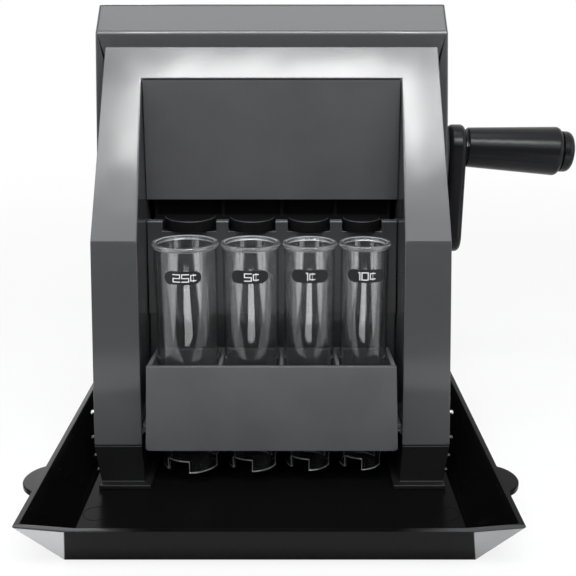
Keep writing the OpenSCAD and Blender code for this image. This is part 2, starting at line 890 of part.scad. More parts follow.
// Plate with one window for each coin, and the rail that the coins roll along
module sorting_rail() {
    rail_d = 2.2;
    rail_h = 2;
    end_half = chute_half;
    color(satin_black)
        difference() {
            union() {
                box([-end_half, rail_y, plate_top_z - lip_t], [end_half, rail_y + rail_t, rail_top_z]);
                intersection() {
                    translate([-end_half, rail_y + eps, window_z - rail_h])
                        rotate([0, -rail_slope, 0])
                            cube([2 * far, rail_t + rail_d, rail_h]);
                    box([-end_half, 0, 0], [end_half, far, far]);
                }
            }
            for (i = [0 : 3])
                translate([-end_half, rail_y - 1, window_z])
                    rotate([0, -rail_slope, 0])
                        translate([tube_x[i] + end_half - coins[i] / 2 - window_room, 0, 0])
                            cube([coins[i] + 2 * window_room, rail_t + 1 + eps, coins[i] + window_room]);
        }
}

// Hopper bin with its sloping deck
module hopper() {
    exit_x = [disc_x + 12, bin_half - 4];
    exit_h = coin_25_d + 2;
    exit_z = deck_z(bin_front_y + bin_wall, deck_high);
    back = bin_back_y;
    front = bin_front_y;
    shoulder_y = arch_back + housing_slope + housing_wall * 1.5;
    shoulder_z = housing_crease_z;
    color(satin_black)
        difference() {
            along_x(-bin_half, bin_half)
                polygon([[front, deck_z(front, deck_low)], [back, deck_z(back, deck_low)], [back, bin_top_z],
                    [shoulder_y, bin_top_z], [front, shoulder_z - 1]]);
            along_x(-bin_half + bin_wall, bin_half - bin_wall)
                polygon([[front + bin_wall, deck_z(front + bin_wall, deck_high)],
                    [back - bin_wall, deck_z(back - bin_wall, deck_high)],
                    [back - bin_wall, far], [front + bin_wall, far]]);
            disc_frame()
                rod_z(deck_low - 10, deck_high + 1, disc_r + 0.6);
            box([exit_x[0], front - 1, exit_z], [exit_x[1], front + bin_wall + eps, exit_z + exit_h]);
            bridge_ends()
                rod_z(deck_low - 10, deck_low + 3, screw_r + fixed_clear);
        }
}

// Places something at each end of the bridge, in the disc's frame
module bridge_ends() {
    disc_frame()
        for (side = [0, 180])
            rotate([0, 0, bridge_turn + side])
                translate([bridge_post_l, 0, 0])
                    children();
}

// Bridge under the deck: holds the disc's spindle and the inner end of the crank shaft
module disc_bridge() {
    color(satin_black)
        difference() {
            union() {
                disc_frame() {
                    rotate([0, 0, bridge_turn])
                        box([-bridge_post_l, -bridge_arm_r, bridge_low], [bridge_post_l, bridge_arm_r, bridge_high]);
                    rod_z(bridge_low, bridge_high, bridge_boss_r);
                    rod_x(inner_bearing_x[0], inner_bearing_x[1], inner_bearing_r);
                }
                bridge_ends()
                    rod_z(bridge_low, deck_low, bridge_arm_r);
            }
            disc_frame() {
                rod_z(bridge_low - 1, bridge_high + 1, bush_r + fixed_clear);
                rod_x(bush_r + 1.2, far, shaft_r + run_clear);
            }
            bridge_ends()
                rod_z(bridge_low - 1, deck_low + 1, screw_r + fixed_clear);
        }
}

module bridge_screws() {
    color(steel)
        bridge_ends()
            translate([0, 0, bridge_low])
                mirror([0, 0, 1])
                    screw(deck_low - bridge_low + 2.6);
}

module spindle_bush() {
    color(nylon)
        disc_frame()
            difference() {
                union() {
                    rod_z(bridge_low, bridge_high, bush_r);
                    rod_z(bridge_high, bridge_high + bush_flange_t, bush_flange_r);
                }
                rod_z(bridge_low - 1, bridge_high + bush_flange_t + 1, spindle_r + run_clear);
            }
}

// Disc that lifts the coins, with drive pegs below and studs on top
module coin_disc() {
    stud_r = 2;
    stud_h = 2.4;
    stud_circle_r = disc_r - 7;
    color(nylon)
        disc_frame()
            difference() {
                union() {
                    rod_z(disc_low, disc_high, disc_r);
                    rod_z(bridge_high + bush_flange_t + 0.2, disc_low + eps, disc_hub_r);
                    for (i = [0 : peg_count - 1])
                        rotate([0, 0, i * 360 / peg_count])
                            rod_z(peg_tip, disc_low + eps, peg_r, peg_circle_r);
                    for (i = [0 : stud_count - 1])
                        rotate([0, 0, i * 360 / stud_count])
                            rod_z(disc_high - eps, disc_high + stud_h, stud_r, 0, stud_circle_r);
                }
                rod_z(0, far, spindle_r + fixed_clear);
            }
}

module disc_spindle() {
    groove_r = spindle_r - 0.7;
    groove_low = bridge_low - 0.3 - clip_t;
    color(steel)
        disc_frame()
            difference() {
                rod_z(spindle_low, disc_high + disc_nut_h * 0.6, spindle_r);
                difference() {
                    rod_z(groove_low, groove_low + clip_t, spindle_r + 1);
                    rod_z(groove_low - 1, groove_low + clip_t + 1, groove_r);
                }
            }
}

// Rounded nut that holds the disc on its spindle
module disc_nut() {
    color(satin_black)
        disc_frame()
            translate([0, 0, disc_high])
                difference() {
                    turned_cap(spindle_r * 2, disc_nut_h, disc_nut_h * 0.4);
                    translate([0, 0, -1])
                        cylinder(h = disc_nut_h * 0.64 + 1, r = spindle_r + fixed_clear);
                }
}

module spindle_clip() {
    clip_r = spindle_r + 2;
    groove_r = spindle_r - 0.7;
    groove_low = bridge_low - 0.3 - clip_t;
    slack = 0.05;
    color(steel)
        disc_frame()
            difference() {
                rod_z(groove_low + slack, groove_low + clip_t - slack, clip_r);
                rod_z(groove_low - 1, groove_low + clip_t + 1, groove_r + fixed_clear);
                box([-groove_r * 0.8, 0, groove_low - 1], [groove_r * 0.8, far, groove_low + clip_t + 1]);
            }
}

// Crank
module crank_bearing() {
    color(nylon)
        difference() {
            union() {
                rod_x(bearing_in_x, housing_half + eps, bearing_r, crank_y, crank_z);
                rod_x(housing_half, housing_half + bearing_flange_t, bearing_flange_r, crank_y, crank_z);
            }
            rod_x(bearing_in_x - 1, far, shaft_r + run_clear, crank_y, crank_z);
        }
}

module bearing_nut() {
    nut_r = bearing_r + 4;
    color(satin_black)
        translate([inner_half - nut_t, crank_y, crank_z])
            rotate([0, 90, 0])
                difference() {
                    cylinder(h = nut_t, r = nut_r, $fn = 6);
                    translate([0, 0, -1])
                        cylinder(h = nut_t + 2, r = bearing_r + fixed_clear);
                }
}

module crank_shaft() {
    groove_r = shaft_r - 0.8;
    in_x = disc_x + bush_r + 1.6;
    color(steel)
        difference() {
            rod_x(in_x, shaft_end_x, shaft_r, crank_y, crank_z);
            difference() {
                rod_x(clip_x, clip_x + clip_t, shaft_r + 1, crank_y, crank_z);
                rod_x(clip_x - 1, clip_x + clip_t + 1, groove_r, crank_y, crank_z);
            }
            rod_x(shaft_end_x - screw_bite - 1, far, screw_r + fixed_clear, crank_y, crank_z);
        }
}

// Pinion whose teeth run between the disc's pegs, with a gap facing the disc at rest
module crank_pinion() {
    root_r = peg_tip - 0.6;
    root_half = tooth_half_t * 1.15;
    tip_half = tooth_half_t * 0.5;
    color(nylon)
        disc_frame(disc_x + peg_circle_r)
            along_x(-pinion_w / 2, pinion_w / 2)
                difference() {
                    union() {
                        circle(r = root_r);
                        for (i = [0 : pinion_teeth - 1])
                            rotate((i + 0.5) * 360 / pinion_teeth)
                                polygon([[-root_half, root_r - 1], [root_half, root_r - 1],
                                    [tooth_half_t, pitch_r], [tip_half, pinion_out_r],
                                    [-tip_half, pinion_out_r], [-tooth_half_t, pitch_r]]);
                    }
                    circle(r = shaft_r + fixed_clear);
                }
}

module shaft_clip() {
    clip_r = shaft_r + 2.4;
    groove_r = shaft_r - 0.8;
    slack = 0.05;
    color(steel)
        difference() {
            rod_x(clip_x + slack, clip_x + clip_t - slack, clip_r, crank_y, crank_z);
            rod_x(clip_x - 1, clip_x + clip_t + 1, groove_r + fixed_clear, crank_y, crank_z);
            box([clip_x - 1, crank_y - groove_r * 0.8, crank_z - far],
                [clip_x + clip_t + 1, crank_y + groove_r * 0.8, crank_z]);
        }
}

module crank_washer() {
    color(steel)
        difference() {
            rod_x(arm_in_x - washer_t, arm_in_x, bearing_flange_r - 1.5, crank_y, crank_z);
            rod_x(0, far, shaft_r + fixed_clear, crank_y, crank_z);
        }
}

// A disc about X with rounded edges
module soft_disc(r, z) {
    translate([arm_in_x, crank_y, z])
        rotate([0, 90, 0])
            rotate_extrude($fn = 32)
                union() {
                    square([r - arm_round, arm_t]);
                    translate([0, arm_round])
                        square([r, arm_t - 2 * arm_round]);
                    for (h = [arm_round, arm_t - arm_round])
                        translate([r - arm_round, h])
                            circle(r = arm_round, $fn = 24);
                }
}

// Places things on the grip's drooping axis, from the arm's outer face outwards
module grip_frame() {
    translate([arm_out_x, crank_y, grip_z])
        rotate([0, 90 + grip_lean, 0])
            children();
}

module crank_arm() {
    color(satin_black)
        difference() {
            hull() {
                soft_disc(arm_end_r, grip_z);
                soft_disc(arm_hub_r, crank_z);
            }
            rod_x(arm_in_x - 1, shaft_end_x, shaft_r + fixed_clear, crank_y, crank_z);
            rod_x(shaft_end_x - eps, far, screw_head_r + 1.8, crank_y, crank_z);
            grip_frame()
                rod_z(-pin_depth - fixed_clear, far, grip_pin_r + fixed_clear);
        }
}

module crank_screw() {
    color(steel)
        translate([shaft_end_x, crank_y, crank_z])
            rotate([0, 90, 0])
                screw(screw_bite, screw_head_r + 1.6, screw_head_h + 0.4);
}

module grip_pin() {
    color(steel)
        grip_frame()
            rod_z(-pin_depth, cap_start + cap_l * 0.45, grip_pin_r);
}

module grip() {
    edge = 0.6;
    slope = (grip_out_r - grip_in_r) / grip_l;
    color(satin_black)
        grip_frame()
            translate([0, 0, grip_start])
                difference() {
                    rotate_extrude()
                        union() {
                            polygon([[0, 0], [grip_in_r - edge, 0], [grip_in_r, edge],
                                [grip_out_r - slope * grip_round, grip_l - grip_round],
                                [0, grip_l - grip_round]]);
                            translate([0, grip_l - grip_round - eps])
                                square([grip_out_r - grip_round - slope * grip_round, grip_round + eps]);
                            intersection() {
                                translate([grip_out_r - (1 + slope) * grip_round, grip_l - grip_round])
                                    circle(r = grip_round);
                                translate([0, grip_l - grip_round - eps])
                                    square([grip_out_r, grip_round + eps]);
                            }
                        }
                    translate([0, 0, -1])
                        cylinder(h = grip_l + 2, r = grip_pin_r + run_clear);
                }
}

module grip_cap() {
    color(satin_black)
        grip_frame()
            translate([0, 0, cap_start])
                difference() {
                    turned_cap(cap_r, cap_l, 3);
                    translate([0, 0, -1])
                        cylinder(h = cap_l * 0.5 + 1, r = grip_pin_r + fixed_clear);
                }
}

// Tube rack
module rack_front_outline(inset, low, high) {
    slope = rack_draft / (rack_top_z - rack_low_z);
    a = rack_side - inset + (rack_top_z - low) * slope;
    b = rack_side - inset + (rack_top_z - high) * slope;
    polygon([[-a, low], [a, low], [b, high], [-b, high]]);
}

module rack_apron_outline() {
    slope = rack_draft / (rack_top_z - rack_low_z);
    knee_z = rack_low_z + rack_corner_r;
    knee = rack_side + (rack_top_z - knee_z) * slope;
    foot = rack_side + rack_draft;
    union() {
        polygon([[-rack_side, rack_top_z], [rack_side, rack_top_z], [knee, knee_z], [-knee, knee_z]]);
        translate([-foot + rack_corner_r, rack_low_z])
            square([2 * (foot - rack_corner_r), rack_corner_r + eps]);
        for (x = [-foot + rack_corner_r, foot - rack_corner_r])
            intersection() {
                translate([x, knee_z])
                    circle(r = rack_corner_r);
                translate([-knee, rack_low_z])
                    square([2 * knee, rack_corner_r + eps]);
            }
    }
}

module rack_side_outline(front, back) {
    slope = rack_top_fall / (rack_back_y - rack_front_y);
    polygon([[front, rack_floor_z], [back, rack_floor_z],
        [back, rack_top_z - slope * (back - rack_front_y)], [front, rack_top_z - slope * (front - rack_front_y)]]);
}

module tube_rack() {
    inner_front = rack_front_y + rack_wall;
    flange_low = runner_z + slide_clear;
    flange_out = opening_half(flange_low + runner_t) - slide_clear;
    slope_rack = rack_draft / (rack_top_z - rack_low_z);
    flange_in = rack_side + (rack_top_z - flange_low - runner_t) * slope_rack - 0.5;
    color(rack_grey)
        difference() {
            union() {
                intersection() {
                    along_x(-far, far)
                        rack_side_outline(rack_front_y, rack_back_y);
                    along_y(-far, far)
                        rack_front_outline(0, rack_floor_z, rack_top_z);
                }
                along_y(rack_front_y, inner_front)
                    rack_apron_outline();
                both_sides()
                    box([flange_in, runner_front_y, flange_low], [flange_out, rack_back_y, flange_low + runner_t]);
            }
            difference() {
                along_y(inner_front, rack_inner_back_y)
                    rack_front_outline(rack_wall, tube_shoulder_z, rack_top_z + 1);
                for (i = [0 : 2])
                    translate([tube_x[i] + tube_out[i] + tube_gap / 2 - partition_t / 2, -far / 2, 0])
                        cube([partition_t, far, far]);
            }
            for (i = [0 : 3])
                rod_z(rack_floor_z - 1, tube_shoulder_z + 1, tube_out[i] - skirt_set_in + slide_clear,
                    tube_x[i], tube_y);
        }
}

// Outline of a tube's wall, from the inner ledge down the skirt and up to the beaded rim
module tube_outline(i) {
    bore_r = tube_in[i];
    out_r = tube_out[i];
    skirt_r = out_r - skirt_set_in;
    skirt_in_r = skirt_r - skirt_wall;
    ledge_r = coins[i] / 2 - coin_ledge;
    ledge_z = tube_shoulder_z - ledge_t;
    bead_r = out_r + bead_out;
    bead_low = tube_top_z - bead_h;
    polygon([[ledge_r, ledge_z], [skirt_in_r, ledge_z], [skirt_in_r, tab_low_z], [skirt_r, tab_low_z],
        [skirt_r, tube_shoulder_z], [out_r, tube_shoulder_z], [out_r, bead_low - bead_out],
        [bead_r, bead_low], [bead_r, tube_top_z - rim_cut], [bead_r - rim_cut, tube_top_z],
        [bore_r, tube_top_z], [bore_r, tube_shoulder_z], [ledge_r, tube_shoulder_z]]);
}

// Clear tube with a beaded rim, an inner ledge for the coins and three tabs below
module coin_tube(i) {
    tab_pitch = 360 / tab_count;
    middle = (tab_pitch + tab_angle) / 2;
    reach = 2 * tube_out[0];
    color(clear_grey)
        translate([tube_x[i], tube_y, 0])
            difference() {
                rotate_extrude()
                    tube_outline(i);
                for (k = [0 : tab_count - 1])
                    translate([0, 0, tab_low_z - 1])
                        rotate([0, 0, -90 + k * tab_pitch])
                            linear_extrude(height = tab_h + 1)
                                polygon([[0, 0], reach * [cos(tab_angle), sin(tab_angle)],
                                    reach * [cos(middle), sin(middle)], reach * [cos(tab_pitch), sin(tab_pitch)]]);
            }
}

// Oval number plate wrapped round the front of a tube
module tube_label(i) {
    inner_r = tube_out[i] + fixed_clear;
    end_r = label_h / 2;
    half = label_w / 2 - end_r;
    color(satin_black)
        intersection() {
            difference() {
                rod_z(label_z - label_h, label_z + label_h, inner_r + label_t, tube_x[i], tube_y);
                rod_z(0, far, inner_r, tube_x[i], tube_y);
            }
            along_y(tube_y - far, tube_y)
                translate([tube_x[i], label_z])
                    union() {
                        square([2 * half, label_h], center = true);
                        for (x = [-half, half])
                            translate([x, 0])
                                circle(r = end_r);
                    }
        }
}

module coin_tube_25() { coin_tube(0); }
module coin_tube_5() { coin_tube(1); }
module coin_tube_1() { coin_tube(2); }
module coin_tube_10() { coin_tube(3); }
module tube_label_25() { tube_label(0); }
module tube_label_5() { tube_label(1); }
module tube_label_1() { tube_label(2); }
module tube_label_10() { tube_label(3); }

tray();
tray_screws();
base_frame();
front_arch();
arch_screws();
leg_screws();
housing();
rear_cover();
rear_cover_screws();
front_panel();
tube_backplate();
chute_block();
sorting_rail();
hopper();
disc_bridge();
bridge_screws();
spindle_bush();
coin_disc();
disc_spindle();
disc_nut();
spindle_clip();
crank_bearing();
bearing_nut();
crank_shaft();
crank_pinion();
shaft_clip();
crank_washer();
crank_arm();
crank_screw();
grip_pin();
grip();
grip_cap();
tube_rack();
coin_tube_25();
coin_tube_5();
coin_tube_1();
coin_tube_10();
tube_label_25();
tube_label_5();
tube_label_1();
tube_label_10();
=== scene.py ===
"""Looks of a hand-crank coin sorter: finishes, small fittings, studio and camera.

Metres, in the part's own frame: +X to the crank, +Y to the back, +Z up from the table.
"""
import logging
import math
from dataclasses import dataclass, field
from enum import Enum
from functools import partial
from typing import Any, Callable, Sequence, Union

import bmesh
import bpy
from mathutils import Matrix, Vector


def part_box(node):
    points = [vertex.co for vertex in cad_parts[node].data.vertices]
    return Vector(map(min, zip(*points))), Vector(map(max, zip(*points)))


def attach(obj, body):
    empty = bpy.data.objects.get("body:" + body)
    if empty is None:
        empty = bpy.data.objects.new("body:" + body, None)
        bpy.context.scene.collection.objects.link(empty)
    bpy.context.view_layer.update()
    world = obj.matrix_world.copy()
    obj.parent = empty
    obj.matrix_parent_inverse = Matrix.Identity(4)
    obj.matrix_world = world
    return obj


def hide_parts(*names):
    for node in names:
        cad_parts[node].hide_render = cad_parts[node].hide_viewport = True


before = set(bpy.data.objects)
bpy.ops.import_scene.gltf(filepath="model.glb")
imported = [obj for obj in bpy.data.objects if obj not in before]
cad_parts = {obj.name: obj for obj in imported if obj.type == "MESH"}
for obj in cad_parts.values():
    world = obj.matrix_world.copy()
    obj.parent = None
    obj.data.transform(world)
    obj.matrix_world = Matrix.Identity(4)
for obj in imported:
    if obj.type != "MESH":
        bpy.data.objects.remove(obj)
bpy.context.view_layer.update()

LOG = logging.getLogger("coin_sorter")
GLINT = "glint"
COOL = (0.94, 0.97, 1.0)
WHITE = (1.0, 1.0, 1.0, 1.0)
FACE_MIDDLE = (0.0, -0.02, 0.185)
MIRROR_REACH = 0.65
MIRROR_TOE_IN = 0.16
NOISE_MEAN = 0.5
MM = 0.001
WELD = 0.004 * MM
SLIGHT_BEND = 15.0
LAMP_POWER = 4.0
Colour = tuple[float, float, float]
Point = tuple[float, float, float]
Pair = tuple[float, float]
Cell = tuple[int, int, int, int]
Term = Union[float, "Wire"]
Inputs = dict[int | str, Any]
BMesh = bmesh.types.BMesh
Ring = list[bmesh.types.BMVert]


class Body(Enum):
    """The rigid bodies that new pieces ride on."""

    MACHINE = "machine"
    CRANK = "crank"
    RACK = "rack"


class Rays(Enum):
    """Rays that find a lamp, apart from those that went through clear plastic."""

    ALL = "all"
    MATTE = "matte"
    MIRRORED = "mirrored"


class Slot(Enum):
    """Material slots of the record; no new piece is given one of them here."""

    BLACK_GLOSS = "black_gloss"
    CLEAR = "clear"
    LABEL_BLACK = "label_black"
    STEEL = "steel"


def operation(kind: str, swapped: bool = False) -> "Callable[[Wire, Term], Wire]":
    """Make one operator of a Wire.

    Args:
        kind: the Math node's operation.
        swapped: whether the Wire is the second operand.

    Returns:
        The method.
    """
    def method(wire: "Wire", other: Term = 0.0) -> "Wire":
        """Return the result of the Math node."""
        pair = (other, wire) if swapped else (wire, other)
        return wire.graph.add("ShaderNodeMath", dict(enumerate(pair)), operation=kind)

    return method


@dataclass(eq=False)
class Wire:
    """A node's output socket that takes part in Python expressions."""

    graph: "Graph"
    socket: bpy.types.NodeSocket

    __add__ = __radd__ = operation("ADD")
    __sub__, __rsub__ = operation("SUBTRACT"), operation("SUBTRACT", swapped=True)
    __mul__ = __rmul__ = operation("MULTIPLY")
    __abs__ = operation("ABSOLUTE")
    most, over = operation("MAXIMUM"), operation("GREATER_THAN")

    def other(self, name: str) -> "Wire":
        """Return another output of the same node."""
        return Wire(self.graph, self.socket.node.outputs[name])

    def ramp(self, low: float, high: float) -> "Wire":
        """Return 0 below low, 1 above high and a smooth rise between them."""
        inputs = {0: self, 1: low, 2: high, 3: 0.0, 4: 1.0}
        return self.graph.add("ShaderNodeMapRange", inputs, interpolation_type="SMOOTHSTEP")


@dataclass(eq=False)
class Graph:
    """One node tree, with one method that adds every node."""

    tree: bpy.types.NodeTree
    mix_inputs: tuple[int, int, int] = (0, 6, 7)
    mix_result: int = 2

    def add(self, kind: str, inputs: Inputs | None = None, output: int | str = 0, **settings: Any) -> Wire:
        """Add one node.

        Args:
            kind: the node's type.
            inputs: a value or a Wire for each named or numbered socket.
            output: the output that is returned.
            settings: properties that are set first.

        Returns:
            That output as a Wire.
        """
        node = self.tree.nodes.new(kind)
        for name, value in settings.items():
            setattr(node, name, value)
        for name, value in (inputs or {}).items():
            if isinstance(value, Wire):
                self.tree.links.new(value.socket, node.inputs[name])
            else:
                node.inputs[name].default_value = value
        return Wire(self, node.outputs[output] if node.outputs else node.inputs[0])

    def spot(self) -> Wire:
        """Return the place on the object, in metres."""
        return self.add("ShaderNodeTexCoord", output="Object")

    def noise(self, spot: Wire, size: float, detail: float = 2.0, rough: float = 0.5) -> Wire:
        """Return cloudy noise whose blotches have about that size."""
        inputs = {"Vector": spot, "Scale": 1.0 / size, "Detail": detail, "Roughness": rough}
        return self.add("ShaderNodeTexNoise", inputs)

    def blend(self, factor: Term, first: "Colour | Wire", second: "Colour | Wire") -> Wire:
        """Mix two colours.

        Args:
            factor: share of the second colour.
            first: the colour at factor 0.
            second: the colour at factor 1.

        Returns:
            The mixed colour.
        """
        sides = [c if isinstance(c, Wire) else (*c, 1.0) for c in (first, second)]
        inputs = dict(zip(self.mix_inputs, (factor, *sides)))
        return self.add("ShaderNodeMix", inputs, self.mix_result, data_type="RGBA")

    def tones(self, factor: Wire, colour: Colour, tones: Pair) -> Wire:
        """Return a colour that goes from one shade of it at factor 0 to another at 1."""
        return self.blend(factor, *(tuple(part * tone for part in colour) for tone in tones))

    def mixed(self, factor: Wire, first: Wire, second: Wire) -> Wire:
        """Return the first shader at factor 0 and the second at 1."""
        return self.add("ShaderNodeMixShader", {0: factor, 1: first, 2: second})

    def along(self, axis: str, vector: Wire) -> Wire:
        """Return a vector's part along one axis."""
        return self.add("ShaderNodeSeparateXYZ", {0: vector}, axis)

    def principled(self, inputs: Inputs) -> Wire:
        """Return a Principled shader."""
        return self.add("ShaderNodeBsdfPrincipled", inputs)

    def bump(self, height: Wire) -> Wire:
        """Return the normal of a surface with that height, in metres."""
        return self.add("ShaderNodeBump", {"Strength": 1.0, "Distance": 1.0, "Height": height})

    def looks(self) -> tuple[Wire, Wire]:
        """Return masks of the camera's rays and of mirrored or refracted rays."""
        path = self.add("ShaderNodeLightPath", output="Is Camera Ray")
        return path, path.other("Is Glossy Ray").most(path.other("Is Transmission Ray"))


@dataclass(frozen=True)
class Finish:
    """A surface finish that makes its material on first use."""

    name: str

    def shade(self, graph: Graph) -> Wire:
        """Return the surface shader."""
        raise NotImplementedError

    def material(self) -> bpy.types.Material:
        """Return the material.

        Returns:
            The one material of this finish.
        """
        made = bpy.data.materials.get(self.name)
        if made is None:
            made = bpy.data.materials.new(self.name)
            made.use_nodes = True
            made.node_tree.nodes.clear()
            graph = Graph(made.node_tree)
            graph.add("ShaderNodeOutputMaterial", {"Surface": self.shade(graph)})
        return made


@dataclass(frozen=True)
class MouldedPlastic(Finish):
    """Injection-moulded plastic: a slow drift of tint and gloss, fine grain, slack flats and dust."""

    colour: Colour = (0.1, 0.1, 0.1)
    roughness: float = 0.3
    ior: float = 1.5
    tint_drift: float = 0.08
    gloss_drift: float = 0.06
    drift_size: float = 0.03
    grain_size: float = 0.0006
    grain_depth: float = 0.000004
    slack_size: float = 0.05
    slack_depth: float = 0.0
    drift_range: Pair = (0.3, 0.7)
    dust: float = 0.0
    dust_pitch: float = 0.0045
    dust_share: float = 0.1
    dust_colour: Colour = (0.5, 0.5, 0.5)

    def tint(self, graph: Graph, spot: Wire, drift: Wire) -> Wire:
        """Return the base colour.

        Args:
            graph: the material's graph.
            spot: the place on the object.
            drift: slow noise.

        Returns:
            The colour with its drift and dust.
        """
        tones = (1.0 - self.tint_drift, 1.0 + self.tint_drift)
        colour = graph.tones(drift.ramp(*self.drift_range), self.colour, tones)
        if self.dust:
            cells = graph.add("ShaderNodeTexVoronoi", {"Vector": spot, "Scale": 1.0 / self.dust_pitch})
            fluff = 1.0 - cells.ramp(self.dust_share / 2.0, self.dust_share)
            colour = graph.blend(fluff * self.dust, colour, self.dust_colour)
        return colour

    def shade(self, graph: Graph) -> Wire:
        """Return a glossy or matte plastic surface.

        Args:
            graph: the material's graph.

        Returns:
            The shader.
        """
        spot = graph.spot()
        drift = graph.noise(spot, self.drift_size, 3.0)
        grain = graph.noise(spot, self.grain_size)
        slack = graph.noise(spot, self.slack_size, 1.0, 0.4)
        swing = self.gloss_drift
        gloss = self.roughness + (drift - NOISE_MEAN) * swing + (grain - NOISE_MEAN) * (swing / 2.0)
        height = grain * self.grain_depth + slack * self.slack_depth
        inputs = {
            "Base Color": self.tint(graph, spot, drift),
            "Roughness": gloss,
            "IOR": self.ior,
            "Normal": graph.bump(height),
        }
        return graph.principled(inputs)


@dataclass(frozen=True)
class TrayPlastic(MouldedPlastic):
    """Black tray plastic with painted pale reflections on its front corner facets and a painted highlight on the rim
    beside them.
    """

    facet_painted_reflections: tuple[Colour, Colour] = ((0.56, 0.56, 0.56), (0.36, 0.361, 0.366))
    rim_painted_highlight: Colour = (0.06, 0.06, 0.062)
    floor_colour: Colour = (0.0035, 0.0035, 0.0036)
    floor_ior: float = 1.07
    floor_roughness: float = 0.2
    floor_level: Pair = (0.8, 0.95)
    floor_band: Pair = (4.0 * MM, 5.0 * MM)
    facet_normal: Point = (0.1219, -0.8327, -0.5401)
    facet_reach: float = 80.65 * MM
    facet_slack: float = 0.5 * MM
    facet_line: float = 81.0 * MM
    facet_lean: float = 0.2273
    facet_fade: float = 0.3 * MM
    side_fade: float = 10.0 * MM
    rim_height: float = 21.4 * MM
    rim_rise: float = 0.4 * MM
    rim_front: float = -96.0 * MM
    rim_depth: float = 1.0 * MM
    rim_fade: Pair = (46.0 * MM, 74.0 * MM)

    def tint(self, graph: Graph, spot: Wire, drift: Wire) -> Wire:
        """Return the base colour with its painted pale corners.

        Args:
            graph: the material's graph.
            spot: the place on the object.
            drift: slow noise.

        Returns:
            The colour, with a painted reflection on the facets and a painted highlight along the rim.
        """
        base = super().tint(graph, spot, drift)
        split = graph.along("X", spot)
        side, depth, height = abs(split), split.other("Y"), split.other("Z")
        x, y, z = self.facet_normal
        off = abs(side * x + depth * y + height * z - self.facet_reach)
        line, fade, top = self.facet_line, self.facet_fade, self.rim_height
        # Painted reflection: pale colour on the front corner facets, lighter on the left facet than on the right.
        facet = (1.0 - off.ramp(self.facet_slack, self.facet_slack * 2.0)) * (
            side + height * self.facet_lean).ramp(line - fade, line + fade)
        # Painted highlight: a lighter colour along the rim's top beside the facets.
        rim = height.ramp(top, top + self.rim_rise) * side.ramp(*self.rim_fade) * (
            1.0 - depth.ramp(self.rim_front, self.rim_front + self.rim_depth))
        with_painted_rim = graph.blend(rim, base, graph.tones(drift, self.rim_painted_highlight, (0.8, 1.0)))
        pale = graph.blend(split.ramp(-self.side_fade, self.side_fade), *self.facet_painted_reflections)
        below = 1.0 - height.ramp(top - fade, top)
        return graph.blend(facet * below, with_painted_rim, pale)

    def shade(self, graph: Graph) -> Wire:
        """Return the glossy surface, dulled on the tray's floor.

        Args:
            graph: the material's graph.

        Returns:
            The shader.
        """
        height = graph.along("Z", graph.spot())
        gloss = super().shade(graph)
        drift = graph.noise(graph.spot(), self.drift_size, 3.0)
        colour = graph.tones(drift, self.floor_colour, (0.9, 1.1))
        dimmed = graph.principled({"Base Color": colour, "Roughness": self.floor_roughness, "IOR": self.floor_ior})
        facing = graph.along("Z", graph.add("ShaderNodeNewGeometry", output="Normal"))
        floor = facing.ramp(*self.floor_level) * (1.0 - height.ramp(*self.floor_band))
        return graph.mixed(floor, gloss, dimmed)


@dataclass(frozen=True)
class BandedPlastic(MouldedPlastic):
    """Plastic whose tone changes between two heights, used for painted light and painted shade."""

    above: Colour = (0.1, 0.1, 0.1)
    band: Pair = (0.0, 1.0)

    def tint(self, graph: Graph, spot: Wire, drift: Wire) -> Wire:
        """Return the base colour, which fades to the upper tone."""
        height = graph.along("Z", spot)
        return graph.blend(height.ramp(*self.band), super().tint(graph, spot, drift), self.above)


@dataclass(frozen=True)
class ClearPlastic(Finish):
    """Clear moulded plastic with faint handling haze, fine upright scuffs and painted glints of milky colour on
    marked faces.
    """

    tint: Colour = (0.96, 0.97, 0.975)
    glint_paint: Colour = (0.8, 0.81, 0.82)
    haze: float = 0.004
    roughness: float = 0.03
    ior: float = 1.49
    cloud_size: float = 0.012
    cloud_depth: float = 0.00002
    scuff_size: float = 0.0009
    scuff_stretch: Point = (1.0, 1.0, 0.04)
    scuff_range: Pair = (0.55, 0.8)
    scuff_gain: float = 0.05
    edge_roughness: float = 0.3

    def shade(self, graph: Graph) -> Wire:
        """Return a clear surface whose haze wanders.

        Args:
            graph: the material's graph.

        Returns:
            The shader.
        """
        spot = graph.spot()
        cloud = graph.noise(spot, self.cloud_size, 3.0)
        scuffs = graph.noise(graph.add(
            "ShaderNodeVectorMath", {0: spot, 1: self.scuff_stretch}, operation="MULTIPLY"), self.scuff_size)
        inputs = {
            "Base Color": graph.tones(cloud, self.tint, (0.97, 1.0)),
            "Roughness": self.roughness + scuffs.ramp(*self.scuff_range) * self.scuff_gain,
            "IOR": self.ior,
            "Transmission Weight": 1.0 - self.haze,
            "Normal": graph.bump(cloud * self.cloud_depth),
        }
        clear = graph.principled(inputs)
        # Painted glints: faces marked by the glint attribute take a pale matte colour.
        glint_paint = graph.tones(cloud, self.glint_paint, (0.9, 1.0))
        edge = graph.principled({"Base Color": glint_paint, "Roughness": self.edge_roughness})
        glint = graph.add("ShaderNodeAttribute", output="Fac", attribute_name=GLINT)
        return graph.mixed(glint, clear, edge)


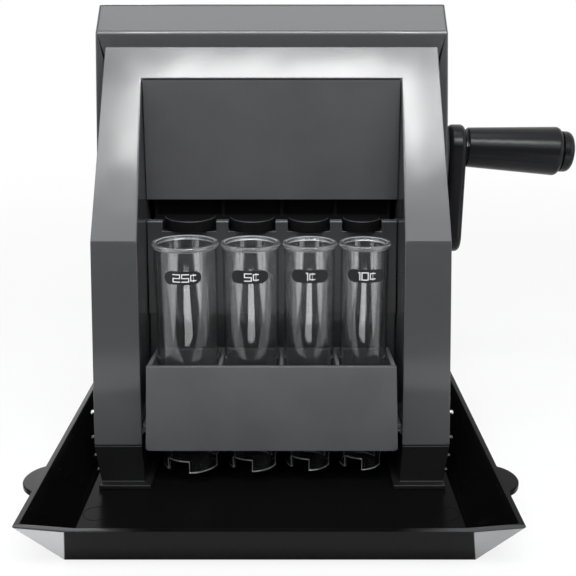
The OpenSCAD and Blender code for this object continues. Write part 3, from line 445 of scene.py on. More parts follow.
@dataclass(frozen=True)
class PlatedSteel(Finish):
    """Zinc-plated steel with a cloudy bloom and fine turning marks, and painted shade that darkens it below a height.
    """

    colour: Colour = (0.62, 0.62, 0.63)
    dimmed: Colour = (0.62, 0.62, 0.63)
    painted_shade_below: float = -1.0
    painted_shade_fade: float = 1.0 * MM
    roughness: float = 0.26
    bloom_size: float = 0.004
    bloom_gain: float = 0.15
    mark_size: float = 0.0003
    mark_gain: float = 0.1
    mark_depth: float = 0.000003

    def shade(self, graph: Graph) -> Wire:
        """Return a bright metal surface.

        Args:
            graph: the material's graph.

        Returns:
            The shader.
        """
        spot = graph.spot()
        bloom = graph.noise(spot, self.bloom_size, 3.0)
        marks = graph.noise(spot, self.mark_size, 1.0)
        # Painted shade: the colour darkens to the dimmed tone below that height.
        height = graph.along("Z", spot).ramp(self.painted_shade_below, self.painted_shade_below + self.painted_shade_fade)
        cloudy, scored = (bloom - NOISE_MEAN) * self.bloom_gain, (marks - NOISE_MEAN) * self.mark_gain
        inputs = {
            "Base Color": graph.blend(height, self.dimmed, graph.tones(bloom, self.colour, (0.8, 1.15))),
            "Metallic": 1.0,
            "Roughness": self.roughness + cloudy + scored,
            "Normal": graph.bump(marks * self.mark_depth),
        }
        return graph.principled(inputs)


@dataclass(frozen=True)
class Mottled(Finish):
    """A plain dull surface with small blotches, such as print or felt."""

    colour: Colour = (0.8, 0.8, 0.805)
    tones: Pair = (0.88, 1.0)
    size: float = 0.0005
    roughness: float = 0.45
    gain: float = 0.15

    def shade(self, graph: Graph) -> Wire:
        """Return a dull surface.

        Args:
            graph: the material's graph.

        Returns:
            The shader.
        """
        blotch = graph.noise(graph.spot(), self.size)
        rough = self.roughness + blotch * self.gain if self.gain else self.roughness
        return graph.principled({"Base Color": graph.tones(blotch, self.colour, self.tones), "Roughness": rough})


def cloth(name: str, colour: Colour) -> Finish:
    """Return the felt of a studio flag or card."""
    return Mottled(name, colour, tones=(0.8, 1.2), size=0.002, roughness=1.0, gain=0.0)


@dataclass(frozen=True)
class PaleFloor(Finish):
    """A pale sheet that keeps a soft shadow by the object and reads as plain white farther off."""

    colour: Colour = (0.9, 0.9, 0.9)
    glow: float = 0.84
    mirrored_glow: float = 0.34
    blotch: float = 0.25
    near: float = 0.25
    far: float = 1.1

    def shade(self, graph: Graph) -> Wire:
        """Return a matte surface mixed with plain white for seen, mirrored and refracted rays.

        Args:
            graph: the material's graph.

        Returns:
            The shader.
        """
        spot = graph.spot()
        tone = graph.tones(graph.noise(spot, self.blotch), self.colour, (0.99, 1.0))
        matte = graph.add("ShaderNodeBsdfDiffuse", {"Color": tone})
        white = graph.add("ShaderNodeEmission", {"Color": WHITE, "Strength": 1.0})
        reach = graph.add("ShaderNodeVectorMath", {0: spot}, "Value", operation="LENGTH")
        seen, mirrored = graph.looks()
        near = self.glow + reach.ramp(self.near, self.far) * (1.0 - self.glow)
        return graph.mixed(seen * near + mirrored * self.mirrored_glow, matte, white)


# Lighter from 95 mm down to 25 mm: painted reflected light on the lower arch and housing.
GREY_GLOSS = BandedPlastic(
    "silver_grey_gloss", colour=(0.078, 0.0786, 0.082), roughness=0.125, tint_drift=0.06,
    drift_size=0.04, slack_size=0.03, slack_depth=0.00025, above=(0.054, 0.0546, 0.057),
    band=(25.0 * MM, 95.0 * MM))
PANEL_GREY = MouldedPlastic(
    "matte_panel", colour=(0.046, 0.046, 0.0482), roughness=0.7, ior=1.3, grain_size=0.0007, grain_depth=0.000012)
RACK_GREY = MouldedPlastic(
    "matte_rack", colour=(0.08, 0.081, 0.084), roughness=0.62, ior=1.35, grain_size=0.0007, grain_depth=0.000012)
# Lighter above 118.5 mm: painted highlight along the ledge at the plate's top edge.
PLATE_GREY = BandedPlastic(
    "backplate_grey", colour=(0.026, 0.0263, 0.028), roughness=0.26, ior=1.45, slack_size=0.03, slack_depth=0.00012,
    above=(0.1, 0.102, 0.108), band=(118.5 * MM, 118.9 * MM))
BLACK_GLOSS = TrayPlastic(
    "tray_black", colour=(0.0022, 0.0022, 0.0023), roughness=0.12, ior=1.14, dust=0.02, slack_size=0.04,
    slack_depth=0.0001)
# Slightly darker below 115 mm than above 118.6 mm: painted shade under the chute lips.
CHUTE_BLACK = BandedPlastic(
    "chute_black", colour=(0.004, 0.0041, 0.0044), roughness=0.6, ior=1.12, above=(0.0045, 0.0045, 0.0047),
    band=(115.0 * MM, 118.6 * MM))
# Grey lighter than the black chutes, for the lip beads: a painted glint along the lips' edges.
PAINTED_LIP_GLINT = MouldedPlastic("lip_edge", colour=(0.05, 0.0505, 0.053), roughness=0.22)
BLACK_SATIN = MouldedPlastic(
    "crank_black", colour=(0.0075, 0.0076, 0.0085), roughness=0.24, ior=1.25, grain_size=0.0005, grain_depth=0.000006)
BASE_BLACK = MouldedPlastic(
    "base_black", colour=(0.008, 0.008, 0.0084), roughness=0.42, ior=1.3, dust=0.03)
NYLON = MouldedPlastic("natural_nylon", colour=(0.6, 0.58, 0.52), roughness=0.42)
LABEL_BLACK = MouldedPlastic("label_film", colour=(0.007, 0.007, 0.0075), roughness=0.5, ior=1.35)
CLEAR = ClearPlastic("clear_plastic")
STEEL = PlatedSteel("plated_steel")
# Leg screws, darkened below 30 mm by painted shade.
LEG_STEEL = PlatedSteel("leg_screw_steel", dimmed=(0.06, 0.06, 0.062), painted_shade_below=30.0 * MM)
WHITE_INK = Mottled("white_ink")


def link(name: str, data: bpy.types.ID) -> bpy.types.Object:
    """Return a new object of the scene."""
    bpy.context.scene.collection.objects.link(made := bpy.data.objects.new(name, data))
    return made


def put(name: str, mesh: BMesh, body: Body, finish: Finish, smooth: bool = True) -> bpy.types.Object:
    """Turn a built mesh into a piece.

    Args:
        name: the piece's name.
        mesh: the built mesh, which is used up.
        body: the body that it rides on.
        finish: its finish.
        smooth: whether its faces shade smoothly.

    Returns:
        The new object.
    """
    bmesh.ops.recalc_face_normals(mesh, faces=mesh.faces)
    data = bpy.data.meshes.new(name)
    mesh.to_mesh(data)
    mesh.free()
    data.polygons.foreach_set("use_smooth", [smooth] * len(data.polygons))
    data.materials.append(finish.material())
    made = link(name, data)
    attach(made, body.value)
    LOG.info("piece %s on %s", name, body.value)
    return made


def shape_group(name: str, work: Callable[[Graph, Wire], Wire]) -> bpy.types.NodeTree:
    """Return a node group that takes a shape and gives one back.

    Args:
        name: the group's name.
        work: adds the group's own nodes to a graph, from the wire of the shape that comes in.

    Returns:
        The one group of that name.
    """
    made = bpy.data.node_groups.get(name)
    if made is None:
        made = bpy.data.node_groups.new(name, "GeometryNodeTree")
        for side in ("INPUT", "OUTPUT"):
            made.interface.new_socket("Geometry", in_out=side, socket_type="NodeSocketGeometry")
        graph = Graph(made)
        graph.add("NodeGroupOutput", {0: work(graph, graph.add("NodeGroupInput"))})
    return made


def smoothed(graph: Graph, shape: Wire) -> Wire:
    """Return the shape with every face shaded smoothly."""
    return graph.add("GeometryNodeSetShadeSmooth", {0: shape})


def marked(graph: Graph, shape: Wire, sharp: float, least: float) -> Wire:
    """Return the shape with the edges marked that are to be rounded.

    Args:
        graph: the group's graph.
        shape: the shape.
        sharp: least angle of a sharp edge, in degrees.
        least: least length of an edge that is rounded.

    Returns:
        The marked shape.
    """
    angle = graph.add("GeometryNodeInputMeshEdgeAngle", output="Unsigned Angle")
    ends = graph.add("GeometryNodeInputMeshEdgeVertices", output="Position 1")
    both = {0: ends, 1: ends.other("Position 2")}
    length = graph.add("ShaderNodeVectorMath", both, "Value", operation="DISTANCE")
    chosen = angle.over(math.radians(sharp)) * length.over(least)
    inputs = {"Geometry": shape, "Name": "bevel_weight_edge", "Value": chosen}
    return graph.add("GeometryNodeStoreNamedAttribute", inputs, data_type="FLOAT", domain="EDGE")


def turns(count: int) -> list[float]:
    """Return equal angles once round."""
    return [2.0 * math.pi * i / count for i in range(count)]


def lathe(mesh: BMesh, place: Matrix, outline: Sequence[Pair], sides: int) -> list[Ring]:
    """Return a ring of vertices about a place's Z axis for each radius and height of an outline."""
    spots = [[(r * math.cos(turn), r * math.sin(turn), z) for turn in turns(sides)] for r, z in outline]
    return [[mesh.verts.new(place @ Vector(spot)) for spot in ring] for ring in spots]


def join(mesh: BMesh, rings: Sequence[Ring]) -> None:
    """Join each ring to the next by a band of faces.

    Args:
        mesh: the mesh that grows.
        rings: rings with equally many vertices.
    """
    for near, far in zip(rings, rings[1:]):
        for corners in zip(near, near[1:] + near[:1], far[1:] + far[:1], far):
            mesh.faces.new(corners)


def sweep(mesh: BMesh, path: Sequence[tuple[Vector, Vector]], radius: float, closed: bool, sides: int = 8) -> None:
    """Sweep a round bead along a path.

    Args:
        mesh: the mesh that grows.
        path: middle of each section and its outward direction, which is level.
        radius: the bead's radius.
        closed: whether the path ends where it starts.
        sides: sides of the bead.
    """
    up = Vector((0.0, 0.0, radius))
    rings = [[mesh.verts.new(at + out * (radius * math.cos(turn)) + up * math.sin(turn)) for turn in turns(sides)]
             for at, out in path]
    join(mesh, rings + rings[:1] if closed else rings)
    if not closed:
        mesh.faces.new(rings[0])
        mesh.faces.new(rings[-1])


def islands(node: str) -> list[tuple[Vector, Vector]]:
    """Return the box of each separate solid of a node.

    Args:
        node: the part node.

    Returns:
        Lowest and highest corners, ordered from low to high.
    """
    mesh = bmesh.new()
    mesh.from_mesh(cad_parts[node].data)
    bmesh.ops.remove_doubles(mesh, verts=mesh.verts, dist=WELD)
    left, boxes = set(mesh.verts), []
    while left:
        found = [left.pop()]
        for vert in found:
            near = {end for edge in vert.link_edges for end in edge.verts} & left
            left -= near
            found.extend(near)
        boxes.append(tuple(Vector([pick(v.co[i] for v in found) for i in range(3)]) for pick in (min, max)))
    mesh.free()
    return sorted(boxes, key=lambda box: tuple(round(x, 5) for x in box[0]))


@dataclass(frozen=True)
class CrossScrews:
    """Pan-head screws with a cross recess, which stand for one node of plain screws."""

    node: str
    axis: Point
    body: Body = Body.MACHINE
    finish: Finish = STEEL
    shank_radius: float = 1.4 * MM
    head_height: float = 1.6 * MM
    sides: int = 28
    dome_steps: int = 5
    flat_share: float = 0.66
    rim_share: float = 0.35
    arm_half: float = 0.13
    arm_length: float = 0.5
    recess_share: float = 0.55
    recess_taper: float = 0.75
    tip_share: float = 0.7
    tip_length: float = 0.5 * MM

    def recess(self, mesh: BMesh, place: Matrix, top: Ring, radius: float) -> None:
        """Close the head's top with a sunken cross.

        Args:
            mesh: the mesh that grows.
            place: the screw's frame.
            top: the ring at the head's top.
            radius: the head's radius.
        """
        a, b = self.arm_half * radius, self.arm_length * radius
        corners = [(a, a), (a, b), (-a, b), (-a, a), (-b, a), (-b, -a), (-a, -a), (-a, -b), (a, -b), (a, -a),
                   (b, -a), (b, a)]
        high = self.head_height
        levels = ((1.0, high), (self.recess_taper, high * (1.0 - self.recess_share)))
        mouth, floor = ([mesh.verts.new(place @ Vector((x * scale, y * scale, z))) for x, y in corners]
                        for scale, z in levels)
        rim = [mesh.edges.get(ends) for ends in zip(top, top[1:] + top[:1])]
        cross = [mesh.edges.new(ends) for ends in zip(mouth, mouth[1:] + mouth[:1])]
        bmesh.ops.triangle_fill(mesh, use_beauty=True, edges=rim + cross)
        join(mesh, [mouth, floor])
        mesh.faces.new(floor)

    def build(self) -> None:
        """Build every screw of the node as one piece and hide the plain ones."""
        mesh = bmesh.new()
        for low, high in islands(self.node):
            middle = (low + high) / 2.0
            axis = Vector(self.axis)
            if self.axis[0]:
                axis = Vector((math.copysign(1.0, middle.x), 0.0, 0.0))
            along = max(range(3), key=lambda i: abs(axis[i]))
            span = high - low
            radius = span[(along + 1) % 3] / 2.0
            top = high[along] if axis[along] > 0 else low[along]
            seat = middle.copy()
            seat[along] = top - axis[along] * self.head_height
            place = Matrix.Translation(seat) @ axis.to_track_quat("Z", "Y").to_matrix().to_4x4()
            self.one(mesh, place, radius, span[along] - self.head_height)
        piece = put(self.node + "_cross", mesh, self.body, self.finish, smooth=False)
        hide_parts(self.node)

    def one(self, mesh: BMesh, place: Matrix, radius: float, length: float) -> None:
        """Build one screw.

        Args:
            mesh: the mesh that grows.
            place: frame on the head's underside, with Z out of the head.
            radius: the head's radius.
            length: the shank's length.
        """
        high = self.head_height
        outline = [(self.shank_radius * self.tip_share, -length), (self.shank_radius, -length + self.tip_length),
                   (self.shank_radius, 0.0), (radius, 0.0), (radius, high * self.rim_share)]
        flat = radius * self.flat_share
        for step in range(1, self.dome_steps + 1):
            turn = 0.5 * math.pi * step / self.dome_steps
            rise = self.rim_share + (1.0 - self.rim_share) * math.sin(turn)
            outline.append((flat + (radius - flat) * math.cos(turn), high * rise))
        rings = lathe(mesh, place, outline, self.sides)
        join(mesh, rings)
        mesh.faces.new(rings[0])
        self.recess(mesh, place, rings[-1], radius)


@dataclass
class Numerals:
    """Squared printed numbers that wrap round a tube's number plate."""

    unit: float = 0.125 * MM
    ink: float = 0.04 * MM
    lift: float = 0.005 * MM
    gap: int = 4
    middle_row: int = 14
    glyphs: dict[str, tuple[int, list[Cell]]] = field(default_factory=lambda: {
        "2": (26, [(0, 25, 26, 28), (23, 15, 26, 25), (0, 12, 26, 15), (0, 3, 3, 12), (0, 0, 26, 3)]),
        "5": (26, [(0, 25, 26, 28), (0, 15, 3, 25), (0, 12, 26, 15), (23, 3, 26, 12), (0, 0, 26, 3)]),
        "1": (8, [(0, 25, 5, 28), (5, 0, 8, 28)]),
        "0": (24, [(0, 25, 24, 28), (0, 3, 3, 25), (21, 3, 24, 25), (0, 0, 24, 3)]),
        "c": (20, [(0, 22, 20, 25), (0, 6, 3, 22), (0, 3, 20, 6), (10, 25, 12, 28), (10, 6, 11, 22), (10, 0, 12, 3)]),
    })

    def cells(self, text: str) -> set[tuple[int, int]]:
        """Return the lattice squares that the text covers.

        Args:
            text: the glyphs in order.

        Returns:
            Lower left corners of the squares, in lattice units.
        """
        covered = set()
        left = 0
        for sign in text:
            width, bars = self.glyphs[sign]
            for x0, y0, x1, y1 in bars:
                covered |= {(left + x, y) for x in range(x0, x1) for y in range(y0, y1)}
            left += width + self.gap
        return covered

    def build(self, mark: str, shift: float) -> None:
        """Print a tube's number and the coin sign on its plate.

        Args:
            mark: the number.
            shift: how far the text stands right of the plate's middle.
        """
        low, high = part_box("tube_label_" + mark)
        tube_low, tube_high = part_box("coin_tube_" + mark)
        centre = (tube_low + tube_high) / 2.0
        radius = centre.y - low.y
        middle = (low.z + high.z) / 2.0
        covered = self.cells(mark + "c")
        columns = [x for x, _ in covered]
        half = (min(columns) + max(columns) + 1) / 2.0
        mesh = bmesh.new()
        spots: dict[tuple[int, int], bmesh.types.BMVert] = {}
        for x, y in sorted(covered):
            corners = [(x, y), (x + 1, y), (x + 1, y + 1), (x, y + 1)]
            for corner in corners:
                if corner not in spots:
                    across = (corner[0] - half) * self.unit + shift
                    spots[corner] = mesh.verts.new((across, (corner[1] - self.middle_row) * self.unit, 0.0))
            mesh.faces.new([spots[corner] for corner in corners])
        lifted = bmesh.ops.extrude_face_region(mesh, geom=list(mesh.faces))
        for vert in [g for g in lifted["geom"] if isinstance(g, bmesh.types.BMVert)]:
            vert.co.z += self.ink
        for vert in mesh.verts:
            turn = vert.co.x / radius
            reach = radius + self.lift + vert.co.z
            x, y = centre.x + reach * math.sin(turn), centre.y - reach * math.cos(turn)
            vert.co = Vector((x, y, middle + vert.co.y))
        put("tube_number_" + mark, mesh, Body.RACK, WHITE_INK, smooth=False)


@dataclass
class SubAssembly:
    """Part nodes that are finished together."""

    screws: tuple[CrossScrews, ...] = ()
    split_slack: float = 4.0

    def build(self) -> None:
        """Build the screws."""
        for screws in self.screws:
            screws.build()

    def finish(self) -> None:
        """Leave the part's own nodes as they are."""

    def round_edges(self, made: bpy.types.Object, width: float, segments: int = 3, sharp: float = 32.0,
                    least: float = 0.0) -> None:
        """Round an object's sharp edges and even out its shading.

        Args:
            made: the object.
            width: width of the rounding, or 0 for none.
            segments: steps across the rounding.
            sharp: least angle of a sharp edge, in degrees.
            least: least length of an edge that is rounded.
        """
        made.modifiers.new("weld", "WELD").merge_threshold = WELD
        if width:
            marks = shape_group(f"edges_{sharp:.0f}_{least / MM:.1f}", partial(marked, sharp=sharp, least=least))
            made.modifiers.new("marked", "NODES").node_group = marks
            edge = made.modifiers.new("edge", "BEVEL")
            edge.width = width
            edge.segments = segments
            edge.limit_method = "WEIGHT"
            edge.use_clamp_overlap = False
        made.modifiers.new("smooth", "NODES").node_group = shape_group("smooth_faces", smoothed)
        split = made.modifiers.new("split", "EDGE_SPLIT")
        split.split_angle = math.radians(sharp + self.split_slack)
        split.use_edge_sharp = False
        made.modifiers.new("normals", "WEIGHTED_NORMAL").mode = "FACE_AREA"

    def dress(self, finish: Finish, *nodes: str, width: float | None = None, **limits: float) -> None:
        """Give part nodes a finish and round their sharp edges.

        Args:
            finish: the finish.
            nodes: the part nodes that take it.
            width: width of the rounding, or None where the node's shape is left as it is.
            limits: what else round_edges takes.
        """
        for node in nodes:
            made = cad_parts[node]
            if width is not None:
                self.round_edges(made, width, **limits)
            made.material_slots[0].link = "OBJECT"
            made.material_slots[0].material = finish.material()
            LOG.info("node %s in %s", node, finish.name)


@dataclass
class Tray(SubAssembly):
    """The flared coin tray with its moulding marks."""

    edge: float = 0.5 * MM
    mark_radius: float = 5.5 * MM
    mark_bead: float = 0.12 * MM
    mark_spot: Pair = (74.5 * MM, -55.0 * MM)
    floor: float = 3.0 * MM
    mark_sides: int = 40
    screws: tuple[CrossScrews, ...] = (CrossScrews("tray_screws", (0.0, 0.0, -1.0)),)

    def build(self) -> None:
        """Build the witness rings on the tray's floor, and the screws."""
        mesh = bmesh.new()
        for side in (-1.0, 1.0):
            middle = Vector((side * self.mark_spot[0], self.mark_spot[1], self.floor))
            outs = [Vector((math.cos(turn), math.sin(turn), 0.0)) for turn in turns(self.mark_sides)]
            sweep(mesh, [(middle + out * self.mark_radius, out) for out in outs], self.mark_bead, closed=True)
        put("tray_witness_rings", mesh, Body.MACHINE, BLACK_GLOSS)
        super().build()

    def finish(self) -> None:
        """Round and dress the tray."""
        self.dress(BLACK_GLOSS, "tray", width=self.edge)


@dataclass
class Frame(SubAssembly):
    """The black base and the grey arch that stands on it."""

    base_edge: float = 0.5 * MM
    arch_edge: float = 0.9 * MM
    least_edge: float = 1.5 * MM
    screws: tuple[CrossScrews, ...] = (CrossScrews(
        "leg_screws", (1.0, 0.0, 0.0), finish=LEG_STEEL, shank_radius=0.7 * MM, head_height=1.8 * MM),)

    def finish(self) -> None:
        """Round and dress the base and the arch."""
        self.dress(BASE_BLACK, "base_frame", width=self.base_edge, least=self.least_edge)
        self.dress(GREY_GLOSS, "front_arch", width=self.arch_edge, sharp=SLIGHT_BEND, least=self.least_edge)
        self.dress(STEEL, "arch_screws")


@dataclass
class Housing(SubAssembly):
    """The grey housing with its rear cover."""

    edge: float = 1.2 * MM
    cover_edge: float = 0.5 * MM
    screws: tuple[CrossScrews, ...] = (CrossScrews("rear_cover_screws", (0.0, 1.0, 0.0)),)

    def finish(self) -> None:
        """Round and dress the housing and its cover."""
        self.dress(GREY_GLOSS, "housing", width=self.edge, sharp=SLIGHT_BEND)
        self.dress(GREY_GLOSS, "rear_cover", width=self.cover_edge)


@dataclass
class Chutes(SubAssembly):
    """The plates in the arch's opening and the chutes behind them."""

    panel_edge: float = 0.3 * MM
    plate_edge: float = 0.5 * MM
    lip_edge: float = 0.3 * MM
    lip_tip: float = -8.2 * MM
    lip_top: float = 119.55 * MM
    lip_tilt: float = math.radians(4.5)
    lip_bead: float = 0.2 * MM
    lip_sunk: float = 0.7
    lip_arc: float = math.radians(84.0)
    lip_steps: int = 40
    lip_radii: dict[str, float] = field(default_factory=lambda: {
        "25": 11.63 * MM, "5": 10.105 * MM, "1": 9.025 * MM, "10": 8.455 * MM})

    def build(self) -> None:
        """Build the fine bead along each lip's edge, in a lighter grey that paints a glint."""
        mesh = bmesh.new()
        for mark, radius in self.lip_radii.items():
            low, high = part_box("coin_tube_" + mark)
            reach = radius - self.lip_bead * self.lip_sunk
            path = []
            for i in range(self.lip_steps + 1):
                turn = self.lip_arc * (2.0 * i / self.lip_steps - 1.0)
                out = Vector((math.sin(turn), -math.cos(turn), 0.0))
                back = radius - reach * math.cos(turn)
                at = Vector(((low.x + high.x) / 2.0 + reach * math.sin(turn), self.lip_tip + back,
                             self.lip_top + back * math.tan(self.lip_tilt)))
                path.append((at, out))
            sweep(mesh, path, self.lip_bead, closed=False)
        put("chute_lip_beads", mesh, Body.MACHINE, PAINTED_LIP_GLINT)

    def finish(self) -> None:
        """Round and dress the plates and the chutes."""
        self.dress(PANEL_GREY, "front_panel", width=self.panel_edge)
        self.dress(PLATE_GREY, "tube_backplate", width=self.plate_edge)
        self.dress(CHUTE_BLACK, "chute_block", width=self.lip_edge)
        self.dress(CHUTE_BLACK, "sorting_rail", width=0.0)


@dataclass
class Hopper(SubAssembly):
    """The hopper bin and the disc that lifts the coins."""

    edge: float = 0.5 * MM
    disc_edge: float = 0.3 * MM

    def finish(self) -> None:
        """Round and dress the hopper and the disc drive."""
        self.dress(BLACK_SATIN, "hopper", width=self.edge)
        self.dress(BLACK_SATIN, "disc_bridge", width=0.0)
        self.dress(BLACK_SATIN, "disc_nut")
        self.dress(NYLON, "coin_disc", width=self.disc_edge, segments=2)
        self.dress(NYLON, "spindle_bush", "crank_pinion", "crank_bearing")
        self.dress(STEEL, "disc_spindle", "spindle_clip", "bridge_screws")


@dataclass
class Crank(SubAssembly):
    """The crank with its turning grip."""

    screws: tuple[CrossScrews, ...] = (
        CrossScrews("crank_screw", (1.0, 0.0, 0.0), body=Body.CRANK, head_height=2.0 * MM),)

    def finish(self) -> None:
        """Even out and dress the crank's pieces."""
        self.dress(BLACK_SATIN, "crank_arm", "grip", "grip_cap", width=0.0)
        self.dress(BLACK_SATIN, "bearing_nut")
        self.dress(STEEL, "crank_shaft", "shaft_clip", "crank_washer", "grip_pin")


@dataclass
class ClearTube(SubAssembly):
    """One clear coin tube, turned smoothly, with a slim rim bead and three tabs under its skirt."""

    node: str = ""
    bead_out: float = 0.7 * MM
    wall: float = 1.1 * MM
    shoulder: float = 26.3 * MM
    skirt_set_in: float = 0.8 * MM
    skirt_wall: float = 1.2 * MM
    skirt_drop: float = 10.1 * MM
    tab_drop: float = 5.4 * MM
    ledge: float = 2.2 * MM
    ledge_thick: float = 1.6 * MM
    tab_count: int = 3
    tab_angle: float = 70.0
    first_tab: float = -90.0
    sides: int = 144
    edge: float = 0.22 * MM
    sharp: float = math.radians(36.0)
    edge_glint: float = 0.3
    rim_glint: float = 0.1
    bead: tuple[Pair, ...] = (
        (0.0, 1.9), (0.3, 1.72), (0.6, 1.4), (0.7, 1.05), (0.7, 0.7), (0.58, 0.32), (0.3, 0.06), (0.0, 0.0))
    mouth: tuple[Pair, ...] = ((0.3, 0.0), (0.08, 0.1), (0.0, 0.35))

    def outline(self, bore: float, top: float) -> list[Pair]:
        """Return the wall's outline.

        Args:
            bore: radius of the bore.
            top: height of the rim.

        Returns:
            Radius and height of each ring, from the skirt's inner foot outward and round.
        """
        out = bore + self.wall
        skirt = out - self.skirt_set_in
        inner = skirt - self.skirt_wall
        low = self.shoulder - self.skirt_drop
        rounds = ((out, self.bead), (bore, self.mouth))
        rim = [(wall + r * MM, top - z * MM) for wall, steps in rounds for r, z in steps]
        under = self.shoulder - self.ledge_thick
        return [(inner, low), (skirt, low), (skirt, self.shoulder), (out, self.shoulder), *rim, (bore, self.shoulder),
                (bore - self.ledge, self.shoulder), (bore - self.ledge, under), (inner, under)]

    def in_tab(self, step: int) -> bool:
        """Return whether a step round the skirt lies in a tab."""
        pitch = 360.0 / self.tab_count
        return ((step + 0.5) * 360.0 / self.sides - self.first_tab) % pitch < self.tab_angle

    def build(self) -> None:
        """Build the tube and hide the plain one."""
        low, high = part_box(self.node)
        middle = (low + high) / 2.0
        bore = (high.x - low.x) / 2.0 - self.bead_out - self.wall
        mesh = bmesh.new()
        glint = mesh.faces.layers.float.new(GLINT)
        place = Matrix.Translation((middle.x, middle.y, 0.0))
        outline = self.outline(bore, high.z)
        rings = lathe(mesh, place, outline, self.sides)
        foot = lathe(mesh, place, [(r, z - self.tab_drop) for r, z in outline[:2]], self.sides)
        join(mesh, rings[1:] + rings[:1])
        inner, outer = rings[:2]
        for i in range(self.sides):
            k = (i + 1) % self.sides
            if not self.in_tab(i):
                mesh.faces.new((inner[i], inner[k], outer[k], outer[i]))
                continue
            mesh.faces.new((outer[i], outer[k], foot[1][k], foot[1][i]))
            mesh.faces.new((inner[i], inner[k], foot[0][k], foot[0][i]))
            mesh.faces.new((foot[0][i], foot[0][k], foot[1][k], foot[1][i]))
            for end, step in ((i, i - 1), (k, i + 1)):
                if not self.in_tab(step):
                    mesh.faces.new((inner[end], outer[end], foot[1][end], foot[0][end]))
        bmesh.ops.delete(mesh, geom=[v for v in mesh.verts if not v.link_faces], context="VERTS")
        bmesh.ops.recalc_face_normals(mesh, faces=list(mesh.faces))
        # Painted glints: the rim bead's faces and the rounded edges' faces get a pale share by the glint attribute.
        for face in mesh.faces:
            face[glint] = self.rim_glint * float(face.calc_center_median().z > high.z - self.bead[0][1] * MM)
        sharp = [e for e in mesh.edges if e.calc_face_angle(0.0) > self.sharp]
        rounded = bmesh.ops.bevel(mesh, geom=sharp, offset=self.edge, segments=2, profile=0.5, affect="EDGES")
        for face in rounded["faces"]:
            face[glint] = self.edge_glint
        piece = put(self.node + "_turned", mesh, Body.RACK, CLEAR)
        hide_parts(self.node)
        self.round_edges(piece, 0.0)


@dataclass
class TubeRack(SubAssembly):
    """The pull-out rack with its clear tubes and their number plates."""

    edge: float = 0.35 * MM
    marks: dict[str, float] = field(default_factory=lambda: {
        "25": 0.8 * MM, "5": 0.75 * MM, "1": 0.15 * MM, "10": 0.15 * MM})

    def build(self) -> None:
        """Build the tubes and print the numbers on the plates."""
        printer = Numerals()
        for mark, shift in self.marks.items():
            ClearTube(node="coin_tube_" + mark).build()
            printer.build(mark, shift)

    def finish(self) -> None:
        """Round and dress the rack and the plates."""
        self.dress(RACK_GREY, "tube_rack", width=self.edge)
        self.dress(LABEL_BLACK, *("tube_label_" + mark for mark in self.marks))


@dataclass(frozen=True)
class Softbox:
    """A soft rectangular studio lamp."""

    name: str
    centre: Point
    aim: Point
    width: float
    height: float
    glow: float
    colour: Colour = (1.0, 1.0, 1.0)
    rays: Rays = Rays.ALL

    @classmethod
    def mirrored(cls, name: str, across: Pair, rise: Pair, glow: float) -> "Softbox":
        """Return a lamp that is seen only in mirror images, such as that in the arch's leaning face.

        Args:
            name: the lamp's name.
            across: its left and right edge.
            rise: angles at which its lower and upper edge stand over the face's middle, in degrees.
            glow: its radiance.

        Returns:
            The lamp.
        """
        _, face_y, face_z = FACE_MIDDLE
        low, high = (math.radians(angle) for angle in rise)
        middle = (low + high) / 2.0
        x = (across[0] + across[1]) / 2.0
        centre = (x, face_y - MIRROR_REACH * math.cos(middle), face_z + MIRROR_REACH * math.sin(middle))
        tall = 2.0 * MIRROR_REACH * math.tan((high - low) / 2.0)
        aim = (x * MIRROR_TOE_IN, face_y, face_z)
        return cls(name, centre, aim, across[1] - across[0], tall, glow, rays=Rays.MIRRORED)

    def hang(self) -> None:
        """Add the lamp, out of the camera's sight."""
        lamp = bpy.data.lights.new(self.name, "AREA")
        lamp.shape = "RECTANGLE"
        lamp.size, lamp.size_y = self.width, self.height
        lamp.energy = LAMP_POWER * self.glow * self.width * self.height
        lamp.color = self.colour
        made = link(self.name, lamp)
        made.location = self.centre
        made.rotation_mode = "QUATERNION"
        made.rotation_quaternion = (Vector(self.aim) - Vector(self.centre)).to_track_quat("-Z", "Y")
        made.visible_camera = False
        made.visible_diffuse = self.rays is not Rays.MIRRORED
        made.visible_glossy = self.rays is not Rays.MATTE
        LOG.info("lamp %s", self.name)


@dataclass(frozen=True)
class Card:
    """A sheet on the floor that only mirrored and refracted rays see."""

    name: str
    front: float
    back: float
    half: float
    finish: Finish


